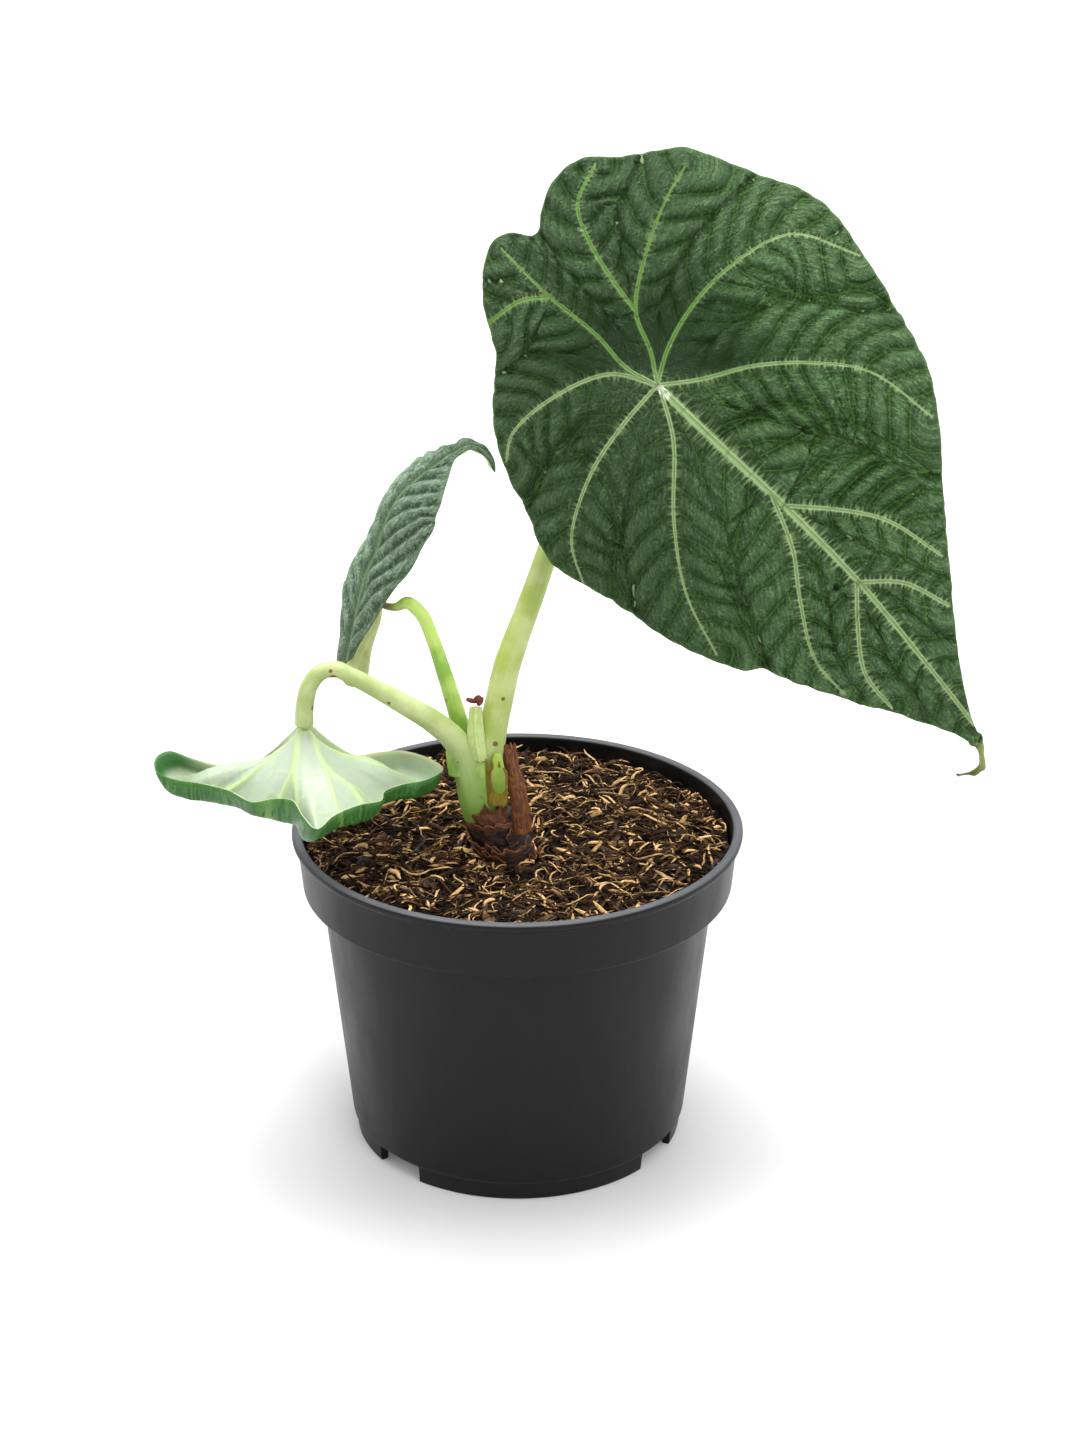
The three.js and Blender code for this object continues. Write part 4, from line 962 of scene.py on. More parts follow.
def stalk_finish(name, pale, green, spots=(), stain=None, foot=0.0):
    """Fleshy stalk: clouds of pale and green, greener over its foot, fine lengthwise lines, small
    brown dots, spots at given places, which are brown and rust marks and, on the stem, one painted
    highlight, and a stain between two shares of its length."""
    f = Finish(name, Specular_IOR_Level=0.5, Subsurface_Weight=0.25, Subsurface_Scale=0.002)
    f.shader.inputs["Subsurface Radius"].default_value = (1.0, 1.0, 0.3)
    share, around = f.given("share"), f.given("around")
    lines = f.noise(f.pair(around * 5.0, share * 4.0), 1.0, 3, 0.6)
    cloud = f.noise(f.mm, 0.11, 3, 0.55)
    clouded = f.eased(cloud + (lines - 0.5) * 0.25, 0.36, 0.66)
    colour = f.mixed(clouded + f.eased(share, 0.0, foot + 0.001, 1.0, 0.0), pale, green)
    low = f.eased(f.axis(2) + (cloud - 0.5) * 14, 98.0, 123.0, 0.9, 0.0)
    colour = f.mixed(low, colour, tint(98, 136, 40))
    dots = f.eased(f.cells(f.mm, 0.16), 0.055, 0.11, 1.0, 0.0) * f.eased(cloud, 0.42, 0.5)
    colour = f.mixed(dots * 0.75, colour, tint(112, 92, 30))
    # Each spot is a brown or rust mark, except the stem's pale yellow one, which is a painted
    # highlight.
    for place, radius, shade in spots:
        blot = f.eased(f.spot(place, radius) + (f.noise(f.mm, 1.6, 3) - 0.5) * 0.9, 0.35, 0.6)
        colour = f.mixed(blot * 0.9, colour, shade)
    if stain is not None:
        start, end, shade = stain
        colour = f.mixed(f.eased(share + (cloud - 0.5) * 0.06, start, end), colour, shade)
    return f.done(colour, f.eased(cloud, 0.3, 0.7, 0.36, 0.46),
                  lines * 0.07 + f.noise(f.mm, 1.8, 2) * 0.03)


def ribbed(count, depth, start=0.0, end=1.0):
    """Section with shallow lengthwise ribs that fade out between two shares of the length."""
    return lambda t, a: 1 + depth * np.cos(count * a) * (1 - ease(t, start, end))


def stalk_piece(name, node, form, *looks, **more):
    """Piece in its own fleshy finish that stands for its node."""
    piece(name, form, [stalk_finish(name, *looks, **more)], [node])


class MakeStalks(PieceOperator):
    """The three leaf stalks and the green stem they sheathe"""

    bl_idname = "alocasia.make_stalks"
    bl_label = "Stalks"

    def execute(self, context):
        c = colours()
        brown, rust = tint(96, 62, 24), tint(120, 50, 26)
        large = rod(LARGE_STALK, LARGE_STALK_RADII, 200, 44, shape=ribbed(7, 0.012, 0.3, 0.7))
        stalk_piece("large_stalk", "petiole_1", large, c.stalk, c.stalk_green, [
            ((2.6, -9.5, 141), 1.1, brown), ((-5.5, -15.6, 119), 0.9, brown),
            ((-3.5, -14, 131), 0.8, brown), ((-0.6, -11.6, 138), 0.7, brown)], foot=0.16)
        grey = rod(GREY_STALK, GREY_STALK_RADII, 170, 36, shape=ribbed(5, 0.015))
        stalk_piece("grey_stalk", "petiole_2", grey, tint(168, 192, 96), tint(122, 160, 58), [
            ((-24.9, -0.9, 143.4), 0.55, brown), ((-23.3, -1.6, 139.6), 0.5, brown),
            ((-22.9, -1.8, 138), 0.5, brown)], (0.70, 0.78, tint(120, 104, 88)))
        pale = rod(PALE_STALK, PALE_STALK_RADII, 200, 44, shape=ribbed(9, 0.012, 0.1, 0.5))
        stalk_piece("pale_stalk", "petiole_3", pale, tint(176, 188, 134), tint(150, 168, 98), [
            ((-46.4, -20.7, 139.4), 1.3, rust), ((-45.6, -20.6, 137.6), 1.1, rust),
            ((-47, -20.6, 141.4), 0.8, rust), ((-52.4, -19.6, 131), 1.2, rust),
            ((-52.8, -19.4, 128.5), 1.1, rust), ((-32.6, -19, 131.6), 0.8, brown),
            ((-15.4, -17.4, 114.2), 0.8, brown)], foot=0.4)
        stem = joined([rod(STEM, STEM_RADII, 90, 96, shape=self.folds), self.ear()])
        stalk_piece("stem", "stem_base", stem, tint(170, 196, 96), tint(98, 134, 44), [
            # Painted highlight: this pale yellow spot stands for light on the stem; the spots after
            # it are real marks.
            ((-10.5, -18.6, 112.6), 1.5, tint(214, 206, 84)),
            ((-10.9, -18.2, 115), 1.0, tint(70, 36, 18)), ((-16.4, -16, 119.5), 0.9, rust),
            ((-11, -18.6, 99.6), 1.6, brown)])
        return {"FINISHED"}

    @staticmethod
    def folds(t, a):
        """Section of the stem with two narrow ridges, 1 + 0.05 exp(-(sin((a - b) / 2) / 0.06)2)
        for each ridge's direction b."""
        ridge = lambda b: 0.05 * hump(np.sin((a - b) / 2), 0.06)
        return 1 + ridge(1.75) + ridge(1.35)

    @staticmethod
    def ear():
        """Pointed ear of the stem beside the bud: an arc in plan that narrows and leans as it
        rises."""
        t = np.linspace(0, 1, 26)[:, None]
        a = np.linspace(-1.25, 1.25, 26)[None]
        narrowed = np.sqrt(np.clip(1 - (1.04 * t) ** 4, 0, 1))
        grid = stacked(-14.4 + 3.1 * np.sin(a) * narrowed - 1.4 * t,
                       -14.2 - 2.6 * np.cos(a) * narrowed + 1.2 * t, 110 + 10.4 * t)
        return sheet(grid, 0.7, t, a)


def rhizome_middle(z):
    """Middle of the rhizome and stem at a height."""
    x, y, heights = np.array(RHIZOME + STEM[1:]).T
    return np.interp(z, heights, x), np.interp(z, heights, y)


def husk(turn, spread, low, high, radius, flare, seed, ragged):
    """Papery sheet wrapped on the stem: angle `turn` + a, height from low to a ragged high edge,
    radius growing by flare towards that edge, and small crumples of 1.5 mm."""
    a = np.linspace(-spread / 2, spread / 2, HUSK_GRID[0])[:, None]
    h = np.linspace(0, 1, HUSK_GRID[1])[None]
    torn = (1 - ragged * (0.5 + 0.5 * rumple(a * 9, 0 * a + seed, 1.3, seed))
            - 0.35 * (2 * a / spread) ** 4)
    z = low + (high - low) * h * torn
    x, y = rhizome_middle(z)
    r = (radius + flare * h**2 + 0.22 * rumple(a * radius, z, 1.5, seed + 40)
         + 0.1 * h * rumple(a * 12, z, 0.8, seed))
    angle = math.radians(turn) + a
    grid = stacked(x + r * np.cos(angle), y + r * np.sin(angle), z)
    return sheet(grid, HUSK_THICKNESS, h, a + seed)


class MakeRhizome(PieceOperator):
    """Ringed brown rhizome with papery husks, the dry sheaths, the cut-back sheath and the bud"""

    bl_idname = "alocasia.make_rhizome"
    bl_label = "Rhizome and sheaths"

    def execute(self, context):
        core = rod(RHIZOME, RHIZOME_RADII, 210, 96, shape=self.rings)
        piece("rhizome_core", core, [self.skin()], ["rhizome"])
        husks = joined([husk(*row) for row in HUSKS])
        piece("husks", husks, [self.skin("husk", 0.22)])
        self.dry_piece("papery_scale_husk", "papery_scale", husk(*PAPERY_SCALE), (112, 66, 36),
                       (70, 38, 20), ["papery_scale"])
        self.strip()
        self.bud()
        self.stub()
        return {"FINISHED"}

    @staticmethod
    def rings(t, a):
        """Ring scars 3 mm apart, each a saw tooth that leans over the next, tilted and waved round
        the stem."""
        phase = (t * 16 + 0.25 * np.sin(a + 1) + 0.12 * np.sin(3 * a)) % 1
        return (1 + 0.09 * phase**3 - 0.05 + 0.05 * rumple(a * 5, t * 60, 2.2, 8)
                + 0.02 * rumple(a * 12, t * 190, 2, 9))

    def dry_piece(self, name, finish, form, light, dark, nodes=(), slot="dry_sheath"):
        """Piece in a dry sheath's finish between two display colours."""
        piece(name, form, [self.dry(finish, tint(*light), tint(*dark))], nodes)

    def strip(self):
        """Dry sheath strip: a hollow ribbon along a smooth path with a torn top and lengthwise
        fibres, and a second one behind it."""
        t = np.linspace(0, 1, 90)[:, None]
        s = np.linspace(-1, 1, 30)[None]
        path = smooth_curve([(1.2, -16.8, 94), (0.6, -16, 99.5), (-0.3, -14.8, 105.5),
                             (-1.9, -13.3, 111.9), (-2.9, -12.3, 118)], t[:, 0])
        width = np.interp(t, [0, 0.3, 0.75, 1], [1.7, 1.8, 1.4, 1.5])
        end = 1 - 0.1 * (0.5 + 0.5 * rumple(s * 4, 0 * s, 0.7, 3)) * ease(t, 0.8, 1)
        grid = path[:, None] + stacked(
            s * width, -0.9 * (1 - s**2) - 0.16 * rumple(s * 6, t * 40, 1, 5),
            -19 * (1 - end) * ease(t, 0.9, 1))
        back = grid * 0.985 + np.array([1.0, 1.3, 1.1])
        form = joined([sheet(grid, 0.4, t, s), sheet(back, 0.35, t, s + 4)])
        self.dry_piece("dry_strip", "dry_strip", form, (142, 84, 36), (66, 34, 14), ["dry_sheath"])

    def bud(self):
        """Green bud with a rounded point, and the olive bract that wraps its foot."""
        path = [(-4.6, -17.2, 104), (-4.8, -17.8, 108), (-5, -17.8, 113), (-4.9, -16.9, 117)]
        stalk_piece("green_bud", "bud", rod(path, [1.6, 2, 1.9, 0.9], 60, 36, depth=0.85),
                    tint(150, 172, 60), tint(118, 140, 44))
        t = np.linspace(0, 1, 40)[None]
        a = np.linspace(-1.5, 1.3, 40)[:, None]
        torn = 1 - 0.25 * (0.5 + 0.5 * rumple(a * 4, 0 * a, 0.9, 21)) - 0.2 * ease(a, 0.2, 1.3)
        bract = sheet(stacked(-5.1 + 2.7 * np.sin(a), -16.9 - 2.3 * np.cos(a) + 0.2 * t,
                              103 + 13 * t * torn), 0.35, t, a)
        self.dry_piece("olive_bract", "olive_bract", bract, (136, 122, 26), (96, 70, 18))

    def stub(self):
        """Cut-back pale sheath between the stalks, folded lengthwise, with its withered reddish
        tip."""
        t = np.linspace(0, 1, 60)[:, None]
        s = np.linspace(-1, 1, 30)[None]
        path = smooth_curve([(-9.3, -16.6, 114.5), (-10.1, -16.6, 118), (-10.5, -16.1, 122.5),
                             (-10.5, -14.9, 129.4)], t[:, 0])
        grid = path[:, None] + stacked(
            s * np.interp(t, [0, 0.6, 1], [2.1, 2.1, 1.35]),
            1.2 * np.abs(s) ** 1.6 - 0.5 * hump(s, 0.12), -0.8 * np.abs(s) * t**6)
        self.dry_piece("pale_sheath_stub", "pale_sheath", sheet(grid, 0.6, t, s), (198, 210, 150),
                       (168, 190, 108), ["sheath_stub"], "pale_sheath")
        crumbs = [rod(path, radii, 30, 14) for path, radii in (
            ([(-12.9, -15.2, 131.4), (-11.4, -15, 130.8), (-9.8, -15.1, 130.7)], [0.45, 0.65, 0.5]),
            ([(-10.9, -15.3, 130.6), (-9.9, -15.2, 131.6), (-9, -15, 131.8)], [0.6, 0.8, 0.5]),
            ([(-9.9, -15, 129.6), (-9.3, -15.2, 130.6), (-8.7, -15, 131.9)], [0.5, 0.75, 0.4]))]
        self.dry_piece("withered_tip", "withered_tip", joined(crumbs), (128, 62, 40), (62, 24, 16),
                       ["sheath_tip"])

    @staticmethod
    def skin(name="rhizome_skin", lighter=0.0):
        """Dark brown corky skin: fibres round it and patches, from almost black to orange-brown,
        and lighter towards a husk's edge."""
        f = Finish(name, Specular_IOR_Level=0.4)
        fibre = f.noise(f.stretched(f.mm, 0.5, 0.5, 2.4), 1.0, 4, 0.65, 0.6)
        patch = f.noise(f.mm, 0.28, 3, 0.6)
        edge = f.eased(f.given("share"), 0.55, 1.0)
        light = f.eased(fibre, 0.5, 0.72) * 0.5 + (patch - 0.5) * 0.9 + lighter * edge * 2.4
        colour = f.ramp(light, (0.0, tint(26, 14, 9)), (0.95, tint(168, 104, 54)),
                        (0.3, tint(58, 31, 18)), (0.6, tint(104, 60, 32)))
        return f.done(colour, f.eased(patch, 0.3, 0.7, 0.42, 0.7), fibre * 0.3)

    @staticmethod
    def dry(name, light, dark):
        """Dry sheath: lengthwise fibres between two browns with darker blotches."""
        f = Finish(name, Specular_IOR_Level=0.35, Subsurface_Weight=0.1, Subsurface_Scale=0.001)
        around, share = f.given("around"), f.given("share")
        fibre = f.noise(f.pair(around * 8.0, share * 3.0), 1.0, 4, 0.65, 0.3)
        blot = f.noise(f.mm, 0.5, 3, 0.6)
        colour = f.mixed(f.eased(fibre * 0.7 + blot * 0.45, 0.45, 0.75), dark, light)
        return f.done(colour, f.eased(blot, 0.3, 0.7, 0.5, 0.75), fibre * 0.18)


def herringbone(along, near, number, side, spacing, slant, drift):
    """Signed distance to side veins that leave every vein at a slant on both sides: lines of
    constant along - slant near - drift near2, at a spacing of the vein side's own."""
    code = np.abs(np.sin((number * 2 + side) * 12.9898) * 43758.5453) % 1
    pitch = spacing * (0.85 + 0.4 * code)
    phase = (along - slant * near - drift * near**2) / pitch + code
    return (phase - np.round(phase)) * pitch / math.hypot(1, slant)


def rim_gap(reach, fraction):
    """Distance to the rim along the spoke, from the distance to the junction and its fraction."""
    return reach / np.maximum(fraction, 1e-6) - reach


def drawing(near, side, half, fold, margin, hub, along, number):
    """Values that the blade finishes read: signed and plain distances to the veins, in half widths,
    and to the folds, the gap to the rim, the distance to the junction, and a place on the rib."""
    return dict(vein=near * side / half, vein_far=near / half, fold=fold, fold_far=np.abs(fold),
                margin=margin, hub=hub, rib=np.stack([along, near, number], -1))


def blade_piece(name, node, rim, maker, facing, grid, finishes, spread=0.85):
    """Blade of a leaf in its two finishes, standing for its node."""
    form, side = blade(rim, maker.place, maker.dress, facing, *grid, sizes().blade_thickness / MM,
                       spread)
    piece(name, form, finishes, [node], side)


def leaf_finish(name, deep, swell, vein_colour, side_colour, silver=0.8, rough=(0.3, 0.48),
                wrinkle=0.42, line=0.55,
                marks=None):
    """Quilted blade: deep colour in the grooves and near the veins, partly the leaf's own green and
    partly painted shade, greyer on the panels with a painted sheen on their tops, with wrinkles
    across the side veins whose crests carry painted highlights, short pale teeth beside the main
    veins, and thin paler lines in the folds."""
    f = Finish(name, Specular_IOR_Level=0.28)
    vein, side = f.line("vein", 1.7, 2.6), f.line("fold", 0.8, 1.4)
    margin, hub = f.given("margin"), f.given("hub")
    rib = f.given("rib", vector=True)
    across = f.eased(f.noise(f.stretched(rib, 0.45, 1.25, 3.1), 1.0, 3, 0.62, 0.6), 0.36, 0.66)
    beside = f.noise(f.stretched(rib, 1.5, 0.22, 3.1), 1.0, 2, 0.5)
    grain = f.eased(f.noise(f.mm, 1.6, 4, 0.65), 0.36, 0.66)
    cloud = f.noise(f.mm, 0.09, 2, 0.5)
    # Painted shade and sheen: away from the folds, veins and junction the panels take the swell
    # colour, partly a painted sheen, and the grooves keep the deep colour, partly painted shade.
    panel = (f.eased(side, 0.1, 1.9) * f.eased(vein, 1.0, 6.0, 0.25, 1.0)
             * f.eased(hub, 8.0, 34.0, 0.35, 1.0))
    share = silver - 0.45 + across * 0.5 + grain * 0.4 + (cloud - 0.5) * 0.8
    colour = f.mixed(panel * share, deep, swell)
    # Painted highlight: wrinkle crests away from the veins turn a paler copy of the swell colour.
    colour = f.mixed(across * grain * f.eased(vein, 2.0, 6.0) * 0.7, colour,
                     tuple(min(1, c * 2.2) for c in swell))
    colour = f.mixed(f.eased(side, 0.05, 0.36, line, 0.0), colour, side_colour)
    tooth = f.eased(beside, 0.44, 0.64) * f.eased(vein, 0.9, 5.4, 0.75, 0.0)
    colour = f.mixed(tooth, colour, vein_colour)
    if marks is not None:
        colour, vein_colour = marks(f, colour, vein_colour)
    colour = f.mixed(f.eased(vein, 0.5, 1.45, 0.95, 0.0), colour, vein_colour)
    colour = f.mixed(f.eased(vein, 0.1, 0.4, 0.45, 0.0), colour, side_colour)
    colour = f.mixed(f.eased(margin, 0.15, 0.8, 0.45, 0.0), colour, side_colour)
    relief = (across * 1.3 + grain * 0.6) * wrinkle * f.eased(vein, 0.8, 2.5, 0.15, 1.0)
    relief = relief + f.eased(side, 0.0, 0.7, 0.0, wrinkle) - f.eased(vein, 0.1, 0.5, wrinkle, 0.0)
    return f.done(colour, f.eased(across * 0.5 + grain * 0.5, 0.2, 0.8, *reversed(rough)), relief)


def underside_finish(name, face, patch_colour, vein_colour, blush=None, marks=None):
    """Pale underside: soft mottling, raised veins in their own colour, and an optional blush at the
    rim."""
    f = Finish(name, Specular_IOR_Level=0.45, Subsurface_Weight=0.15, Subsurface_Scale=0.0015)
    vein, side, margin = f.line("vein", 1.7, 2.6), f.line("fold", 0.8, 1.4), f.given("margin")
    mottle = f.noise(f.mm, 0.22, 4, 0.6, 0.5)
    fine = f.noise(f.mm, 1.2, 3, 0.6)
    colour = f.mixed(f.eased(mottle + (fine - 0.5) * 0.3, 0.44, 0.68, 0.0, 0.7), face, patch_colour)
    colour = f.mixed(f.eased(side, 0.1, 0.5, 0.2, 0.0), colour, vein_colour)
    colour = f.mixed(f.eased(vein, 0.6, 1.7, 0.75, 0.0), colour, vein_colour)
    if blush is not None:
        colour = f.mixed(f.eased(margin, 0.15, 0.9, 0.8, 0.0), colour, blush)
    if marks is not None:
        colour = marks(f, colour)
    return f.done(colour, f.eased(mottle, 0.3, 0.7, 0.36, 0.52), fine * 0.08)


class MakeLargeLeaf(PieceOperator):
    """Large dark quilted leaf that faces the viewer"""

    bl_idname = "alocasia.make_large_leaf"
    bl_label = "Large leaf"

    @staticmethod
    def place(rim, fraction):
        """Junction + along u + side v + face (wave - arch), with arch = v2/230 + u2/600 towards the
        tip or u2/320 towards the lobes, wave = 1.4 f4 sin(9 angle + 1), and the tip hooked on a
        6 mm radius."""
        u, v = rim[..., 0] * fraction, rim[..., 1] * fraction
        arch = v**2 / 230 + u**2 / np.where(u > 0, 600, 320)
        wave = 1.4 * fraction**4 * np.sin(9 * np.arctan2(v, u) + 1)
        curl = np.maximum(u - LARGE_CURL_START, 0) / LARGE_CURL_RADIUS
        u = u - LARGE_CURL_RADIUS * (curl - np.sin(curl))
        v = v - LARGE_CURL_RADIUS * (1 - np.cos(curl))
        right = np.array([1.0, 0, 0])
        up = np.array([0, math.sin(LARGE_LEAN), math.cos(LARGE_LEAN)])
        out = np.array([0, -math.cos(LARGE_LEAN), math.sin(LARGE_LEAN)])
        along = right * math.cos(LARGE_SLOPE) - up * math.sin(LARGE_SLOPE)
        flank = right * math.sin(LARGE_SLOPE) + up * math.cos(LARGE_SLOPE)
        side = flank * math.cos(LARGE_TURN) + out * math.sin(LARGE_TURN)
        face = out * math.cos(LARGE_TURN) - flank * math.sin(LARGE_TURN)
        rise = np.where(curl > 0, 0, wave) - arch
        u, v, rise = u[..., None], v[..., None], rise[..., None]
        return np.array(LARGE_JUNCTION) + along * u + side * v + face * rise

    @staticmethod
    def dress(flat, fraction, sign):
        """Panels rise by quilting (1 - exp(-(d/4.2)2)) with the distance d to a main vein. They
        sink by 2.3 exp(-(d/1.9)2) at a fold, 1.9 exp(-(d/1.45)2) at a side vein and
        0.7 exp(-(d/1.3)2) half way between two veins. Each main vein stands up as a cord, higher
        on the underside."""
        near, along, number, side, second, other, other_along = vein_reach(flat, LARGE_VEINS)
        fold_near, _, _, fold_side, _, _, _ = vein_reach(flat, LARGE_FOLDS)
        u, v = flat[:, 0], flat[:, 1]
        warp = 1.1 * rumple(u, v, 9, 31) + 0.5 * rumple(u, v, 4, 32)
        bone = herringbone(along + warp, near, number, side, 6.4, 0.5, 0.02)
        seam = (second - near) / 2 * np.sign(other - number + 0.5)
        seam = np.where(np.minimum(along, other_along) > 5, seam, 9.0)
        reach = np.hypot(u, v)
        margin = rim_gap(reach, fraction)
        calm = 1 - 0.6 * np.exp(-(((u - 26) / 30) ** 2) - ((v + 13) / 13) ** 2)
        clear = ease(reach, 5, 15) * (0.45 + 0.55 * ease(1 - fraction, 0, 0.1))
        puff = sizes().quilting / MM * (1 - hump(near, 4.2))
        fade = ease(near, 0.8, 3.4) * ease(reach, 7, 22) * calm
        depth = 0.75 + 0.25 * rumple(u, v, 11, 34)
        groove = depth * (2.3 * hump(fold_near, 1.9) + 1.9 * hump(bone, 1.45)
                          + 0.7 * hump(seam, 1.3) * ease(near, 2, 4)) * fade
        midrib = number == 0
        half = np.where(midrib, 1.0, 0.5) * (1 - 0.5 * ease(along, 10, np.where(midrib, 115, 62)))
        cord = (0.3 if sign > 0 else -1.1) * half / 0.9 * hump(near, half * 1.2)
        wrinkle = 0.2 * rumple(along * 0.55 + number * 17, near, 0.95, 33) * fade
        inside = 1 - fraction
        raised = (clear * puff - groove * (0.4 + 0.6 * ease(inside, 0, 0.04))
                  + cord * ease(inside, 0, 0.02) + wrinkle)
        lines = nearest(fold_near * fold_side, bone, np.where(np.abs(seam) < near * 0.4, seam, 9.0))
        return raised, drawing(near, side, half, lines, margin, reach, along, number * 7.3)

    @staticmethod
    def marks(f, colour, vein_colour):
        """Lush green and greener veins above the junction, a painted highlight on the hub, a small
        red-brown spot in the sinus and a pale hook at the tip."""
        x, hub, above = f.axis(0), f.given("hub"), f.eased(f.axis(2), 217.5, 224.0)
        colour = f.mixed(above * f.eased(hub, 14.0, 38.0, 0.95, 0.0), colour, tint(20, 54, 2))
        colour = f.mixed(f.eased(x, 28.0, 64.0, 0.42, 0.0), colour, tint(20, 46, 8))
        greener = above * f.eased(x, 42.0, 66.0, 0.85, 0.15)
        vein_colour = f.mixed(greener, vein_colour, tint(86, 130, 44))
        colour = f.mixed(f.spot((33.2, -17.6, 233.4), 1.9) * 0.85, colour, tint(96, 34, 16))
        # Painted highlight: two near-white spots on the hub of the veins.
        for place, radius in (((35.3, -25.6, 217.1), 1.5), ((36.7, -26.2, 215.7), 1.3)):
            vein_colour = f.mixed(f.spot(place, radius), vein_colour, tint(236, 244, 214))
        tip = f.eased(hub, 116.0, 121.0)
        vein_colour = f.mixed(tip, vein_colour, tint(190, 206, 140))
        return f.mixed(tip, colour, tint(164, 184, 104)), vein_colour

    def execute(self, context):
        c = colours()
        upper = leaf_finish("dark_blade", c.leaf_deep, c.leaf_swell, c.leaf_vein, tint(88, 128, 52),
                            marks=self.marks)
        lower = underside_finish("dark_blade_under", tint(118, 142, 98), tint(92, 122, 76),
                                 tint(158, 178, 116))
        blade_piece("large_leaf", "leaf_1", LARGE_OUTLINE, self, (0, -1, 0.4),
                    LARGE_GRID, [upper, lower])
        return {"FINISHED"}


class MakeGreyLeaf(PieceOperator):
    """Grey-green quilted leaf on edge, wrapped into a C with a curled tip"""

    bl_idname = "alocasia.make_grey_leaf"
    bl_label = "Grey leaf"

    @staticmethod
    def place(rim, fraction):
        """Spine(u) + inward R (cos roll - cos wrap) + edge R (sin wrap - sin roll), where wrap is
        v / R + roll, with one radius and roll for the near half and others for the far half."""
        t = np.linspace(0, 1, 3001)
        fine = smooth_curve(GREY_SPINE, t)
        length = run_along(fine)
        start = np.interp(GREY_JUNCTION_STEP / (len(GREY_SPINE) - 1), t, length)
        u, v = rim[..., 0] * fraction, rim[..., 1] * fraction
        at = np.clip(start + u, 0, length[-1])
        spine = np.stack([np.interp(at, length, axis) for axis in fine.T], -1)
        slope = np.gradient(fine, axis=0)
        tangent = unit(np.stack([np.interp(at, length, axis) for axis in slope.T], -1))
        inward = unit(np.stack([tangent[..., 2], 0 * at, -tangent[..., 0]], -1))
        edge = np.array([0, -math.cos(GREY_EDGE_LEAN), math.sin(GREY_EDGE_LEAN)])
        near = rim[..., 1] > 0
        radius = np.where(near, GREY_NEAR_RADIUS, GREY_FAR_RADIUS)
        steps, rolls = np.array(GREY_FAR_ROLL).T
        roll = np.radians(np.where(near, GREY_NEAR_ROLL, np.interp(u, steps, rolls)))
        wrap = v / radius + roll
        return (spine + inward * (radius * (np.cos(roll) - np.cos(wrap)))[..., None]
                + edge * (radius * (np.sin(wrap) - np.sin(roll)))[..., None])

    @staticmethod
    def dress(flat, fraction, sign):
        """Panels 1.45 mm high between ribs that leave the midrib at a slant, as
        1 - exp(-(d/1.35)2) of the distance d to a rib, split again near the margin by grooves of
        0.5 exp(-(d/0.8)2), with a smooth band along the margin."""
        u, v = flat[:, 0], np.abs(flat[:, 1])
        reach = np.hypot(u, v)
        margin = rim_gap(reach, fraction)
        side = np.where(flat[:, 1] > 0, 1.0, -1.0)
        warp = 1.3 * rumple(u, flat[:, 1], 8, 51) + 0.5 * rumple(u, flat[:, 1], 3, 52)
        slant = u + 2.2 * (side < 0) - 1.05 * v - 0.012 * v**2 + warp
        main = (slant / 6.6 - np.round(slant / 6.6)) * 6.6 * 0.69
        split = u + 0.25 * v + warp * 0.6
        small = np.abs(split / 3.9 - np.round(split / 3.9)) * 3.9
        small = small + 6 * (1 - ease(v, 5, 9)) + 6 * ease(-side, 0, 1) * (1 - ease(v, 6, 12))
        body = ease(margin, 0.9, 2.6)
        puff = 1.45 * (1 - hump(main, 1.35)) * body - 0.5 * hump(small, 0.8) * body
        half = 0.5 * (1 - 0.5 * ease(u, 10, 55))
        cord = 0 if sign > 0 else -0.9 * hump(v, 0.9) - 0.4 * hump(main, 0.6)
        raised = (puff * ease(v, 0.3, 2.4) * ease(reach, 2, 8)
                  + cord * ease(1 - fraction, 0, 0.03))
        return raised, drawing(v, side, half, main, margin, reach + 20, slant, side * 5)

    def execute(self, context):
        upper = leaf_finish("grey_blade", tint(46, 68, 46), colours().grey_leaf, tint(98, 126, 86),
                            tint(84, 108, 76), silver=0.95, rough=(0.5, 0.66), wrinkle=0.1,
                            line=0.15)
        lower = underside_finish("grey_blade_under", tint(196, 206, 150), tint(170, 186, 118),
                                 tint(210, 216, 168))
        blade_piece("grey_leaf", "leaf_2", GREY_OUTLINE, self, (-1, 0, 1), GREY_GRID,
                    [upper, lower])
        return {"FINISHED"}


